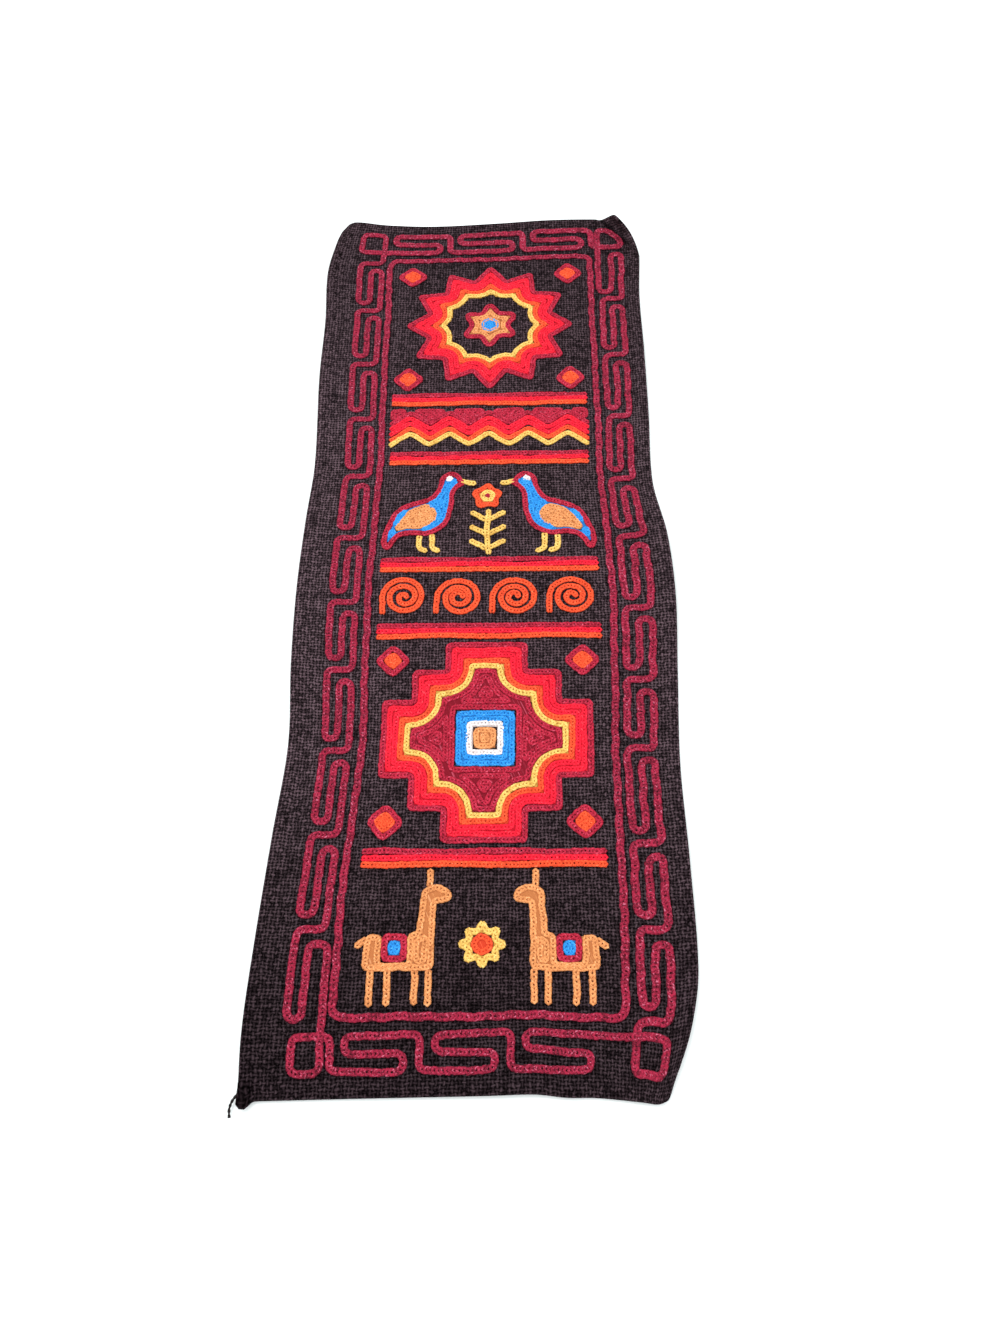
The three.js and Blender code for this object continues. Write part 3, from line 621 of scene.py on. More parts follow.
def level_lines(x, y, field):
    """Closed paths where a field on a grid is zero, found square by square."""
    above = field > 0
    links = {}

    def crossing(r, c, r2, c2):
        t = field[r, c] / (field[r, c] - field[r2, c2])
        return (x[c] + t * (x[c2] - x[c]), y[r] + t * (y[r2] - y[r]))

    mixed = above[:-1, :-1].astype(int) + above[:-1, 1:] + above[1:, 1:] + above[1:, :-1]
    for r, c in np.argwhere((mixed > 0) & (mixed < 4)):
        ring = [(r, c), (r, c + 1), (r + 1, c + 1), (r + 1, c)]
        ins, outs = [], []
        for k in range(4):
            p, q = ring[k], ring[(k + 1) % 4]
            if above[p] != above[q]:
                (outs if above[p] else ins).append((min(p, q), max(p, q)))
        for leave, enter in zip(outs, ins):
            links[enter] = leave
    paths = []
    while links:
        first = next(iter(links))
        here, path = first, []
        while here in links:
            path.append(crossing(*here[0], *here[1]))
            here = links.pop(here)
        paths.append(np.array(path))
    return paths


def path_length(path):
    return float(np.hypot(*(path - np.roll(path, -1, 0)).T).sum())


SHORTEST = 9.0  # a shorter level line holds no stitches
KNOT_POINTS, KNOT_RADIUS = 16, 2.0


def rows_at(depth, level):
    """Rows sewn round the level lines of a depth map."""
    paths = [path for path in depth.level(level) if path_length(path) > SHORTEST]
    return [sew(path, closed=True) for path in paths]


def turns_of(count):
    return 2 * math.pi * np.arange(count) / count


def ring(count, x, y, radius):
    """A closed ring of points. The radius is one number, or one for each point."""
    angle = turns_of(count)
    return np.stack([x + radius * np.sin(angle), y + radius * np.cos(angle)], -1)


def knot(x, y):
    """A small round of stitches, as for an eye or the middle of a flower."""
    return sew(ring(KNOT_POINTS, x, y, KNOT_RADIUS), closed=True)


square = Depth([(0, 0), (20, 0), (20, 20), (0, 20)])
print("a 20 mm square, 5 mm in:", [round(path_length(p)) for p in square.level(5)], "mm round")

# %% [markdown]
# ## A full filling
#
# A filled shape has no bare cloth between its rows: short stitches are tucked into the last gaps.
# Rows of whole loops leave slits where a shape narrows. A low bed of the same yarn under the loops
# closes those slits, and it is made from the cells of the depth map, as a thin closed slab.

# %% Fill a shape
BED_HIGH = 1.0
BED_STEP = 0.06  # each bed of a glowing shape lies a little lower than the one outside it
BED_CELL = 2  # cells of the depth map to one cell of the bed
BED_SUNK = 0.3  # how far its underside reaches into the cloth
BED_INSET = 1.6  # a bed stops this far inside the outline
BED_LAP = 0.8  # and reaches this far under the next row
BED_WAY = (0.9, 0.4)  # the way in which its yarn is taken to run
BED_AROUND, BED_TONE = 0.1, 0.3  # near a strand's underside and low in tone: painted shade, as the bed lies in the gaps under the loops
SPARE = 0.2  # a last row is left out where there is room for less than this share of it


def bed(depth, inset=BED_INSET, high=BED_HIGH):
    """A thin slab over the inside of a shape: points, faces and yarn places."""
    x, y = depth.x[::BED_CELL], depth.y[::BED_CELL]
    values = depth.values[::BED_CELL, ::BED_CELL]
    corners = np.stack([values[:-1, :-1], values[:-1, 1:], values[1:, 1:], values[1:, :-1]])
    filled = np.pad(corners.min(0) > inset, 1)
    index = np.arange(x.size * y.size).reshape(y.size, x.size)
    rows_in, columns_in = np.nonzero(filled[1:-1, 1:-1])
    a, b = index[rows_in, columns_in], index[rows_in, columns_in + 1]
    c, d = index[rows_in + 1, columns_in + 1], index[rows_in + 1, columns_in]
    over = x.size * y.size
    faces = [np.stack([a, b, c, d], -1) + over, np.stack([d, c, b, a], -1)]
    r, k = rows_in + 1, columns_in + 1
    sides = ((a, b, filled[r - 1, k]), (b, c, filled[r, k + 1]),
             (c, d, filled[r + 1, k]), (d, a, filled[r, k - 1]))
    for start, end, joined in sides:
        open_side = ~joined
        s, e = start[open_side], end[open_side]
        faces.append(np.stack([s, e, e + over, s + over], -1))
    faces = np.concatenate(faces)
    u, v = np.meshgrid(x, y)
    face_up = hem("high", u, v)
    levels = (face_up - BED_SUNK, face_up + high)
    points = np.concatenate([laid(u, v, level)[0].reshape(-1, 3) for level in levels])
    used, faces = np.unique(faces, return_inverse=True)
    places = np.zeros((len(used), 3))
    places[:, 0] = points[used, 0] * BED_WAY[0] + points[used, 1] * BED_WAY[1]
    places[:, 1:] = BED_AROUND, BED_TONE
    return points[used], faces.reshape(-1, 4), places


def glow(depth, yarns):
    """Rows from the outline inwards, one for each yarn, each on a bed of its own colour."""
    for k, yarn in enumerate(yarns):
        near, far = k * ROW, (k + 1) * ROW
        band = depth.between(near + (BED_INSET if k == 0 else -BED_LAP), far + BED_LAP)
        yield yarn, rows_at(depth, (k + 0.5) * ROW), bed(band, 0.0, BED_HIGH - BED_STEP * k)


def fill(depth, row=ROW):
    """Rows from the outline in to the middle, evenly shared out over the depth of the shape."""
    deepest = float(depth.values.max())
    count = max(math.ceil(deepest / row - SPARE), 1)
    pitch = deepest / count
    return [loop for k in range(count) for loop in rows_at(depth, (k + 0.5) * pitch)]


print("filling for the trial square:", len(fill(square)), "rows")

# %% [markdown]
# ## Yarn baskets
#
# The motifs share seven yarns. Each yarn's rows go into its own basket, one for each part of the
# column, and a basket becomes one piece when that part is done. So the scene has a few large
# joined meshes in place of thousands of small objects.

# %% Baskets for rows and beds
baskets = {}
beds = {}


def put(part, yarn, loops, *shapes):
    baskets.setdefault((part, yarn), []).extend(loops)
    beds.setdefault((part, yarn), []).extend(bed(shape) for shape in shapes)


def put_glow(part, depth, yarns):
    for yarn, loops, slab in glow(depth, yarns):
        put(part, yarn, loops)
        beds[part, yarn].append(slab)


def close_part(part, nodes):
    """Makes the pieces of one part. Nodes says which solids each yarn's piece stands for."""
    for key in [key for key in baskets if key[0] == part]:
        yarn = key[1]
        stacks = [yarn_tubes(baskets.pop(key)), *beds.pop(key)]
        work_up(part + "_" + yarn.removesuffix("_yarn"), yarn, stacks, nodes.get(yarn, ()))


def moved(points, x=0.0, y=0.0, scale=1.0, facing=1):
    points = np.asarray(points, float) * scale
    return points * (facing, 1) + (x + SHIFT, y)


print("baskets ready")

# %% [markdown]
# ## The sun
#
# At the top of the column a twelve-pointed sun glows from crimson outside to yellow inside, round
# a bare disc of cloth with a small rosette. Its rows are level lines of the star's depth map, so
# the inner rows grow rounder than the star itself, as they do when rows are sewn one by one.

# %% Sew the sun
SUN_Y, SUN_POINTS, SUN_TIP, SUN_NOTCH = 300.0, 12, 90.0, 68.0
ROSETTE, ROSETTE_WAVE, ROSETTE_PETALS, ROSETTE_POINTS = 26.0, 5.0, 6, 72
MIDDLE, MIDDLE_POINTS, MIDDLE_ROW = 9.5, 32, 4.6  # the middle of the rosette is sewn closer
DIAMOND_X, DIAMOND_Y, DIAMOND = 83.0, 74.0, 17.0
GLOW = ("crimson_yarn", "red_yarn", "red_yarn", "flame_yarn", "yellow_yarn")


def star(y, points, tip, notch):
    return ring(2 * points, SHIFT, y, np.tile([tip, notch], points))


sun = Depth(star(SUN_Y, SUN_POINTS, SUN_TIP, SUN_NOTCH))
put_glow("sun", sun, GLOW)
petals = ROSETTE + ROSETTE_WAVE * np.cos(ROSETTE_PETALS * turns_of(ROSETTE_POINTS))
rosette = Depth(ring(ROSETTE_POINTS, SHIFT, SUN_Y, petals))
put_glow("sun", rosette, ("crimson_yarn", "peach_yarn", "peach_yarn"))
middle = Depth(ring(MIDDLE_POINTS, SHIFT, SUN_Y, MIDDLE))
put("sun", "blue_yarn", fill(middle, row=MIDDLE_ROW), middle)


def sew_diamonds(part, y):
    """Four small diamonds round a middle height, crimson outside and flame inside."""
    points = [(DIAMOND, 0), (0, DIAMOND), (-DIAMOND, 0), (0, -DIAMOND)]
    for i, j in ((-1, 1), (1, 1), (1, -1), (-1, -1)):
        shape = Depth(moved(points, i * DIAMOND_X, y + j * DIAMOND_Y))
        put_glow(part, shape, ("crimson_yarn",))
        put(part, "flame_yarn", fill(shape.drawn_in(ROW)), shape.drawn_in(ROW - BED_INSET))


sew_diamonds("sun", SUN_Y)
close_part("sun", {
    "red_yarn": ["sun"], "peach_yarn": ["sun_rosette"],
    "crimson_yarn": ["diamond_5", "diamond_6", "diamond_7", "diamond_8"],
})

# %% [markdown]
# ## Bands across the column
#
# Straight bars, a zigzag and a row of scrolls part the motifs from each other. A bar is three rows
# side by side. The zigzag is five rows in step, and each scroll is one row that winds in to its
# middle. These are open paths, so they need no depth map. Only the wedges between the peaks of the
# zigzag and the straight edge above it are filled as shapes.

# %% Sew the bars and the zigzag
BAR_HEIGHTS, BAR_HALF = (199, 125, 2, -68, -276), 98.0
ZIGZAG_Y, ZIGZAG_PEAKS, ZIGZAG_HALF, ZIGZAG_RISE, ZIGZAG_STEP = 162.0, 5, 99.0, 15.0, 6.6
ZIGZAG_BEND, ZIGZAG_LAP = 3.0, 0.9

for height in BAR_HEIGHTS:
    for side, yarn in ((1, "crimson_yarn"), (0, "red_yarn"), (-1, "flame_yarn")):
        v = height + side * ROW
        put("bands", yarn, [sew([(SHIFT - BAR_HALF, v), (SHIFT + BAR_HALF, v)])])
steps = np.arange(2 * ZIGZAG_PEAKS + 1)
zigzag = moved(np.stack([
    -ZIGZAG_HALF + steps * ZIGZAG_HALF / ZIGZAG_PEAKS,
    np.where(steps % 2, 0.5, -0.5) * ZIGZAG_RISE,
], -1), 0, ZIGZAG_Y)
for side, yarn in zip((2, 1, 0, -1, -2), GLOW):
    put("bands", yarn, [sew(bent(zigzag + (0, side * ZIGZAG_STEP), ZIGZAG_BEND))])
    upper = zigzag + (0, (side + 0.5) * ZIGZAG_STEP)
    lower = zigzag - (0, (0.5 - side) * ZIGZAG_STEP)
    put("bands", yarn, [], Depth(np.vstack([upper, lower[::-1]])).drawn_in(-ZIGZAG_LAP))
half_zigzag = len(GLOW) / 2 * ZIGZAG_STEP  # from its middle line to its upper edge
zigzag_top = ZIGZAG_Y + half_zigzag + ZIGZAG_RISE / 2
corners = [(SHIFT + ZIGZAG_HALF, zigzag_top), (SHIFT - ZIGZAG_HALF, zigzag_top)]
wedges = Depth(np.vstack([zigzag + (0, half_zigzag), corners]))
put("bands", "crimson_yarn", fill(wedges), wedges.drawn_in(-ZIGZAG_LAP))
print("bars:", len(BAR_HEIGHTS), "and a zigzag of", ZIGZAG_PEAKS, "peaks")

# %% Sew the scrolls
SCROLL_Y, SCROLL_COUNT, SCROLL_PITCH, SCROLL_OUTER, SCROLL_INNER = -33.0, 4, 50.0, 20.0, 2.5
SCROLL_TURNS, SCROLL_POINTS, SCROLL_LEAD = 2.5, 60, 0.8

for k in range(SCROLL_COUNT):
    t = np.linspace(0, 1, SCROLL_POINTS)
    radius = SCROLL_OUTER + (SCROLL_INNER - SCROLL_OUTER) * t
    angle = -math.pi / 2 + t * SCROLL_TURNS * 2 * math.pi
    winding = np.stack([radius * np.sin(angle), radius * np.cos(angle)], -1)
    lead = [(-SCROLL_OUTER, -SCROLL_LEAD * SCROLL_OUTER)]
    place = (k - (SCROLL_COUNT - 1) / 2) * SCROLL_PITCH
    put("bands", "flame_yarn", [sew(moved(np.vstack([lead, winding]), place, SCROLL_Y))])
bar_nodes = ["bar_" + str(k + 1) for k in range(len(BAR_HEIGHTS))]
scroll_nodes = ["scroll_" + str(k + 1) for k in range(SCROLL_COUNT)]
close_part("bands", {"red_yarn": bar_nodes, "flame_yarn": ["zigzag", *scroll_nodes]})

# %% [markdown]
# ## Two birds and a flower
#
# A pair of plump birds faces a flowering stem. Each bird has a crimson outline and a blue body
# with a peach wing set into it. The wing is taken out of the body's depth map before the body is
# filled, so the blue rows part round it and nothing is sewn twice.

# %% Sew the birds
BIRD_X, BIRD_Y, BIRD_SCALE = 59.0, 62.0, 0.86
BIRD = [
    (50, 38), (40, 42), (36, 49), (25, 54), (14, 46), (12, 34), (4, 20), (-12, 14), (-32, 4),
    (-42, -14), (-48, -40), (-40, -52), (-29, -35), (-16, -31), (2, -32), (20, -22), (28, -6),
    (30, 10), (31, 24), (37, 33),
]
WING = [(12, -2), (2, 8), (-14, 4), (-26, -8), (-34, -26), (-20, -22), (-4, -22), (9, -14)]
BEAK = [(38, 40.5), (53, 37)]
EYE, EYE_RADIUS, EYE_POINTS = (24.5, 43.5), 3.4, 24
LEG_BEND, WING_LAP = 4.0, 1.2
UNDERLAP = 2.4  # a body's bed reaches this far under what is set into it, less its inset
LEGS = ([(-6, -33), (-6, -50), (2, -52)], [(8, -31), (8, -50), (16, -52)])


def softened(points, steps=6):
    """A closed curve through the points."""
    points = np.asarray(points, float)
    before, after, further = (np.roll(points, k, 0) for k in (1, -1, -2))
    t = np.arange(steps)[None, :, None] / steps
    bend = 0.5 * (2 * points[:, None] + t * (after - before)[:, None]
                  + t**2 * (2 * before - 5 * points + 4 * after - further)[:, None]
                  + t**3 * (3 * points - before - 3 * after + further)[:, None])
    return bend.reshape(-1, 2)


for facing in (1, -1):
    spot = {"x": -facing * BIRD_X, "y": BIRD_Y, "scale": BIRD_SCALE, "facing": facing}
    body = Depth(moved(softened(BIRD), **spot))
    wing = Depth(moved(softened(WING), **spot), spread=(body.x, body.y))
    eye_middle = moved([EYE], **spot)[0]
    eye = Depth(ring(EYE_POINTS, *eye_middle, EYE_RADIUS), spread=(body.x, body.y))
    put_glow("birds", body, ("crimson_yarn",))
    inside = body.drawn_in(ROW).less(wing).less(eye)
    under = body.drawn_in(ROW - UNDERLAP).less(wing.drawn_in(UNDERLAP))
    put("birds", "blue_yarn", fill(inside), under)
    put("birds", "peach_yarn", fill(wing), wing.drawn_in(-WING_LAP))
    put("birds", "white_yarn", [knot(*eye_middle)])
    put("birds", "yellow_yarn", [sew(moved(BEAK, **spot))])
    for leg in LEGS:
        put("birds", "yellow_yarn", [sew(moved(bent(leg, LEG_BEND), **spot))])
close_part("birds", {"blue_yarn": ["bird_left", "bird_right"]})

# %% Sew the flower
FLOWER_FOOT, STEM_TOP, LEAF_PAIRS, LEAF_REACH = 14.0, 62.0, 3, 15.0
LEAF_INNER, LEAF_LOW, LEAF_HIGH = 2.0, 0.40, 0.88  # how far out a leaf starts, and its ends in its pitch
BLOSSOM_Y, BLOSSOM, BLOSSOM_POINTS, BLOSSOM_BED = 79.0, 16.0, 60, 3.0
PETALS, PETAL_MEAN, PETAL_WAVE = 5, 0.86, 0.14
INNER_ROW = 1.4  # the second row of a small flower or star, in rows from its outline

stem_rows = [sew(moved([(0, FLOWER_FOOT), (0, STEM_TOP)]))]
leaf_pitch = (STEM_TOP - FLOWER_FOOT) / LEAF_PAIRS
for k in range(LEAF_PAIRS):
    root = FLOWER_FOOT + k * leaf_pitch
    for side in (-1, 1):
        leaf = [(side * LEAF_INNER, root + LEAF_LOW * leaf_pitch),
                (side * LEAF_REACH, root + LEAF_HIGH * leaf_pitch)]
        stem_rows.append(sew(moved(leaf)))
put("flower", "yellow_yarn", stem_rows)
petals = BLOSSOM * (PETAL_MEAN + PETAL_WAVE * np.cos(PETALS * turns_of(BLOSSOM_POINTS)))
blossom = Depth(ring(BLOSSOM_POINTS, SHIFT, BLOSSOM_Y, petals))
put_glow("flower", blossom, ("flame_yarn",))
put("flower", "yellow_yarn", rows_at(blossom, INNER_ROW * ROW), blossom.drawn_in(BLOSSOM_BED))
put("flower", "crimson_yarn", [knot(SHIFT, BLOSSOM_Y)])
close_part("flower", {"yellow_yarn": ["flower_stem"], "flame_yarn": ["flower_blossom"]})

# %% [markdown]
# ## The stepped cross
#
# A stepped cross is a common figure in weaving, because it follows the threads. It glows inwards
# like the sun does, and its crimson middle holds a blue square with a white ring and a peach core.
# Four diamonds stand in its corners.

# %% Sew the cross
CROSS_Y, CROSS_ARM, CROSS_STEP, CROSS_REACH = -172.0, 36.0, 65.0, 92.0
HEART_ROOM, HEART, HEART_HOLE = 26.2, 25.5, 14.8
CORE_LAP, CORE_ROW = 1.4, 4.8

quarter = np.array([(CROSS_REACH, CROSS_ARM), (CROSS_STEP, CROSS_ARM), (CROSS_STEP, CROSS_STEP),
                    (CROSS_ARM, CROSS_STEP), (CROSS_ARM, CROSS_REACH)])
turns = [np.array([(c, -s), (s, c)]) for c, s in ((1, 0), (0, 1), (-1, 0), (0, -1))]
cross = Depth(moved(np.vstack([quarter @ turn.T for turn in turns]), 0, CROSS_Y))
put_glow("cross", cross, GLOW)


def box(half, y):
    return moved([(-half, -half), (half, -half), (half, half), (-half, half)], 0, y)


room = Depth(box(HEART_ROOM, CROSS_Y), spread=(cross.x, cross.y))
inside = cross.drawn_in(len(GLOW) * ROW).less(room)
put("cross", "crimson_yarn", fill(inside), inside.drawn_in(-BED_INSET))
heart = Depth(box(HEART, CROSS_Y))
core = Depth(box(HEART_HOLE, CROSS_Y), spread=(heart.x, heart.y))
blue_rows = rows_at(heart, 0.5 * ROW) + rows_at(heart, 1.5 * ROW)
put("cross", "blue_yarn", blue_rows, heart.drawn_in(-CORE_LAP).less(core.drawn_in(BED_INSET)))
put_glow("cross", core.drawn_in(-CORE_LAP), ("white_yarn",))
put("cross", "peach_yarn", fill(core.drawn_in(ROW), row=CORE_ROW), core.drawn_in(ROW - BED_INSET))
sew_diamonds("cross", CROSS_Y)
close_part("cross", {
    "red_yarn": ["cross"], "blue_yarn": ["cross_heart"], "white_yarn": ["cross_core"],
    "crimson_yarn": ["diamond_1", "diamond_2", "diamond_3", "diamond_4"],
})

# %% [markdown]
# ## Two llamas and a star
#
# At the foot a pair of llamas stands on either side of a small star. Their legs, ears and tails are
# single rows, and only the body and neck are filled. Each wears a crimson blanket with a blue
# middle, cut out of the body's depth map like the birds' wings.

# %% Sew the llamas
LLAMA_X, LLAMA_Y, LLAMA_SCALE = 58.0, -354.0, 1.25
LLAMA = [(-25, 13), (-26, -9), (17, -9), (17, 33), (27, 34), (27, 41), (17, 46), (8, 42), (6, 15)]
LLAMA_LINES = (
    [(-20.5, -9), (-20.5, -29)], [(-10, -9), (-10, -29)], [(6.5, -9), (6.5, -29)],
    [(14.5, -9), (14.5, -29)], [(-24, 10), (-30, 6)], [(13, 44), (13, 54)],
)
BLANKET = [(-15, 14), (-15, -4), (1, -4), (1, 14)]
STAR_Y, STAR_POINTS, STAR_TIP, STAR_NOTCH, STAR_BED = -345.0, 8, 24.0, 13.0, 4.0

for facing in (1, -1):
    spot = {"x": -facing * LLAMA_X, "y": LLAMA_Y, "scale": LLAMA_SCALE, "facing": facing}
    body = Depth(moved(LLAMA, **spot))
    blanket = Depth(moved(BLANKET, **spot), spread=(body.x, body.y))
    put("llamas", "peach_yarn", fill(body.less(blanket)), body.less(blanket.drawn_in(UNDERLAP)))
    put("llamas", "peach_yarn", [sew(moved(line, **spot)) for line in LLAMA_LINES])
    put_glow("llamas", blanket, ("crimson_yarn",))
    put("llamas", "blue_yarn", fill(blanket.drawn_in(ROW)), blanket.drawn_in(ROW - BED_INSET))
small_star = Depth(star(STAR_Y, STAR_POINTS, STAR_TIP, STAR_NOTCH))
put_glow("llamas", small_star, ("yellow_yarn",))
put("llamas", "flame_yarn", rows_at(small_star, INNER_ROW * ROW), small_star.drawn_in(STAR_BED))
close_part("llamas", {"peach_yarn": ["llama_left", "llama_right"], "yellow_yarn": ["small_star"]})

# %% [markdown]
# ## The loose thread
#
# At the lower left corner the end of the hem thread sticks out and droops to the surface. It is
# two thin plies twisted round each other, so it is made as two tubes along one smooth route.

# %% Twist the loose thread
TAIL_ROUTE = [(1.2, 0.6, 0.2), (-1.4, -2.2, 0.2), (-3.6, -5.8, -0.6), (-4.5, -10, -0.8),
              (-3.6, -15.5, -0.8)]
TAIL_THICK, TAIL_TWIST = 2.2, 2.6
TAIL_IN, TAIL_HIGH = 6.0, 1.9  # where it leaves the cloth: in from the corner, and up
TAIL_POINTS, TAIL_EASED, TAIL_ENDS = 40, 4, 2  # the end points stay where they are
PLY_RADIUS, PLY_SWING, PLY_TONES = 0.64, 0.75, (0.4, 0.6)


def twist_tail():
    u, v = np.array(-HALF_WIDTH), np.array(-HALF_LENGTH + TAIL_IN)
    root, _ = laid(u, v, np.array(TAIL_HIGH))
    route = root + np.array(TAIL_ROUTE)
    route[:, 2] = np.maximum(route[:, 2], TAIL_THICK / 2)
    knots = np.linspace(0, 1, len(route))
    at = np.linspace(0, 1, TAIL_POINTS)
    curve = np.stack([np.interp(at, knots, route[:, k]) for k in range(3)], -1)
    curve[TAIL_ENDS:-TAIL_ENDS] = eased(curve, TAIL_EASED)[TAIL_ENDS:-TAIL_ENDS]
    across = np.cross(np.gradient(curve, axis=0), UP)
    across /= np.linalg.norm(across, axis=1, keepdims=True)
    angle = at * TAIL_TWIST * 2 * math.pi
    plies = []
    for start in (0, math.pi):
        swing = np.cos(angle + start)[:, None] * across + np.sin(angle + start)[:, None] * UP
        plies.append(curve + PLY_RADIUS * PLY_SWING * swing)
    return np.array(plies)


plies = twist_tail()
upright = np.broadcast_to(UP, plies.shape)
twisted = yarn_tubes([(plies, upright, np.array(PLY_TONES))], PLY_RADIUS, PLY_RADIUS)
work_up("loose_thread", "hem_thread", [twisted], ["thread_tail"])

# %% [markdown]
# ## Yarn
#
# Wool yarn is two plies twisted together, fuzzy, and never quite one colour: its tone strays at
# random. On top of that its colour is painted darker in the hollows between the plies and on the
# flanks and underside of the strand, as painted shade, and lighter on its top, as painted light, and
# loose hairs get a painted highlight. These are the same effects in every yarn, so they are one node
# group that reads where a point lies along and round the strand. Each material gives the group its
# own three colours. The shader itself stays in the material, with a little sheen for the fuzz.

# %% Small helpers for nodes
MIX_FIRST, MIX_SECOND, MIX_OUT = 6, 7, 2  # the colour sockets of a Mix node


def wire(tree, kind, inputs=(), **settings):
    """Adds a node, sets its inputs to values or links, and returns it."""
    node = tree.nodes.new(kind)
    for key, value in settings.items():
        setattr(node, key, value)
    for key, value in dict(inputs).items():
        if isinstance(value, bpy.types.NodeSocket):
            tree.links.new(value, node.inputs[key])
        else:
            node.inputs[key].default_value = value
    return node


def sums(tree, operation, *values):
    return wire(tree, "ShaderNodeMath", enumerate(values), operation=operation).outputs[0]


def noise(tree, place, scale, detail, rough=0.5):
    inputs = {"Vector": place, "Scale": scale, "Detail": detail, "Roughness": rough}
    return wire(tree, "ShaderNodeTexNoise", inputs).outputs


def mix_colours(tree, share, first, second):
    """The first colour where the share is 0, turning into the second where it is 1."""
    inputs = {"Factor": share, MIX_FIRST: first, MIX_SECOND: second}
    return wire(tree, "ShaderNodeMix", inputs, data_type="RGBA").outputs[MIX_OUT]


def new_material(name, values):
    """A material with these values in its shader. Returns it with its node tree and its shader."""
    material = bpy.data.materials.new(name)
    material.use_nodes = True
    shader = material.node_tree.nodes["Principled BSDF"]
    for key, value in values.items():
        shader.inputs[key].default_value = value
    return material, material.node_tree, shader


def bumped(tree, shader, height, strength, distance):
    bump = wire(tree, "ShaderNodeBump", {"Height": height, "Strength": strength, "Distance": distance})
    tree.links.new(bump.outputs["Normal"], shader.inputs["Normal"])


print("node helpers ready")


# %% The wool group
PLIES, PLY_TWIST = 2.0, 0.32  # plies round the strand, and how many cross a millimetre of it
FUZZ_SCALE, FUZZ_DETAIL, FUZZ_ROUGH = 560.0, 4.0, 0.75
STRAND_ROUND = 8.0  # millimetres round the strand
HAIR_DOWN, HAIR_OVER = 0.82, 0.57  # loose hairs lie aslant to the strand
HAIR_LONG, HAIR_WIDE, HAIR_APART, HAIR_DETAIL = 0.35, 1.1, 40.0, 2.0
LIT_HAIRS, LIT_PLY, LIT_FUZZ, LIT_TONE, LIT_TURNED, LIT_FROM = 2.4, 0.3, 2.0, 0.4, -0.45, 2.35
LOOSE_FROM, LOOSE_GAIN, LOOSE_MOST = 0.6, 6.0, 0.75
HIGH_FUZZ, HIGH_PLY = 0.6, 0.7


def wool_group():
    group = bpy.data.node_groups.new("wool strand", "ShaderNodeTree")
    for name in ("Dye", "Shade", "Hair highlight"):
        group.interface.new_socket(name, in_out="INPUT", socket_type="NodeSocketColor")
    group.interface.new_socket("Colour", in_out="OUTPUT", socket_type="NodeSocketColor")
    group.interface.new_socket("Height", in_out="OUTPUT", socket_type="NodeSocketFloat")
    start = wire(group, "NodeGroupInput")
    place = wire(group, "ShaderNodeAttribute", attribute_name="strand").outputs["Vector"]
    parts = wire(group, "ShaderNodeSeparateXYZ", {"Vector": place}).outputs
    along, around, tone = parts["X"], parts["Y"], parts["Z"]
    winding = sums(group, "MULTIPLY_ADD", along, PLY_TWIST, sums(group, "MULTIPLY", around, PLIES))
    ply = sums(group, "ABSOLUTE", sums(group, "SINE", sums(group, "MULTIPLY", winding, math.pi)))
    where = wire(group, "ShaderNodeTexCoord").outputs["Object"]
    fuzz = noise(group, where, FUZZ_SCALE, FUZZ_DETAIL, FUZZ_ROUGH)["Fac"]
    girth = sums(group, "MULTIPLY", around, STRAND_ROUND)
    down_hair = sums(group, "MULTIPLY_ADD", along, HAIR_DOWN, sums(group, "MULTIPLY", girth, HAIR_OVER))
    over_hair = sums(group, "MULTIPLY_ADD", along, -HAIR_OVER, sums(group, "MULTIPLY", girth, HAIR_DOWN))
    lie = wire(group, "ShaderNodeCombineXYZ", {
        "X": sums(group, "MULTIPLY", down_hair, HAIR_LONG),
        "Y": sums(group, "MULTIPLY", over_hair, HAIR_WIDE),
        "Z": sums(group, "MULTIPLY", tone, HAIR_APART)}).outputs[0]
    hairs = noise(group, lie, 1.0, HAIR_DETAIL)["Fac"]
    # Painted shade on the underside and flanks of the strand and painted light on its top (turned), and
    # painted shade in the grooves between the plies (ply), mixed into lit with the random tone of the
    # hairs, the fuzz and the stitch
    turned = sums(group, "COSINE", sums(group, "MULTIPLY", around, 2 * math.pi))
    lit = sums(group, "MULTIPLY_ADD", hairs, LIT_HAIRS, sums(group, "MULTIPLY", ply, LIT_PLY))
    lit = sums(group, "MULTIPLY_ADD", fuzz, LIT_FUZZ, sums(group, "SUBTRACT", lit, LIT_FROM))
    lit = sums(group, "MULTIPLY_ADD", turned, LIT_TURNED, lit)
    lit = sums(group, "MULTIPLY_ADD", tone, LIT_TONE, lit)
    lit = wire(group, "ShaderNodeClamp", {"Value": lit}).outputs[0]
    dyed = mix_colours(group, lit, start.outputs["Shade"], start.outputs["Dye"])
    # A painted highlight where loose hairs catch the light
    loose = sums(group, "MULTIPLY", sums(group, "SUBTRACT", hairs, LOOSE_FROM), LOOSE_GAIN)
    loose = wire(group, "ShaderNodeClamp", {"Value": loose, "Max": LOOSE_MOST}).outputs[0]
    colour = mix_colours(group, loose, dyed, start.outputs["Hair highlight"])
    height = sums(group, "MULTIPLY_ADD", fuzz, HIGH_FUZZ, sums(group, "MULTIPLY", ply, HIGH_PLY))
    end = wire(group, "NodeGroupOutput")
    group.links.new(colour, end.inputs["Colour"])
    group.links.new(height, end.inputs["Height"])
    return group


wool = wool_group()
print("group", wool.name, "with", len(wool.nodes), "nodes")

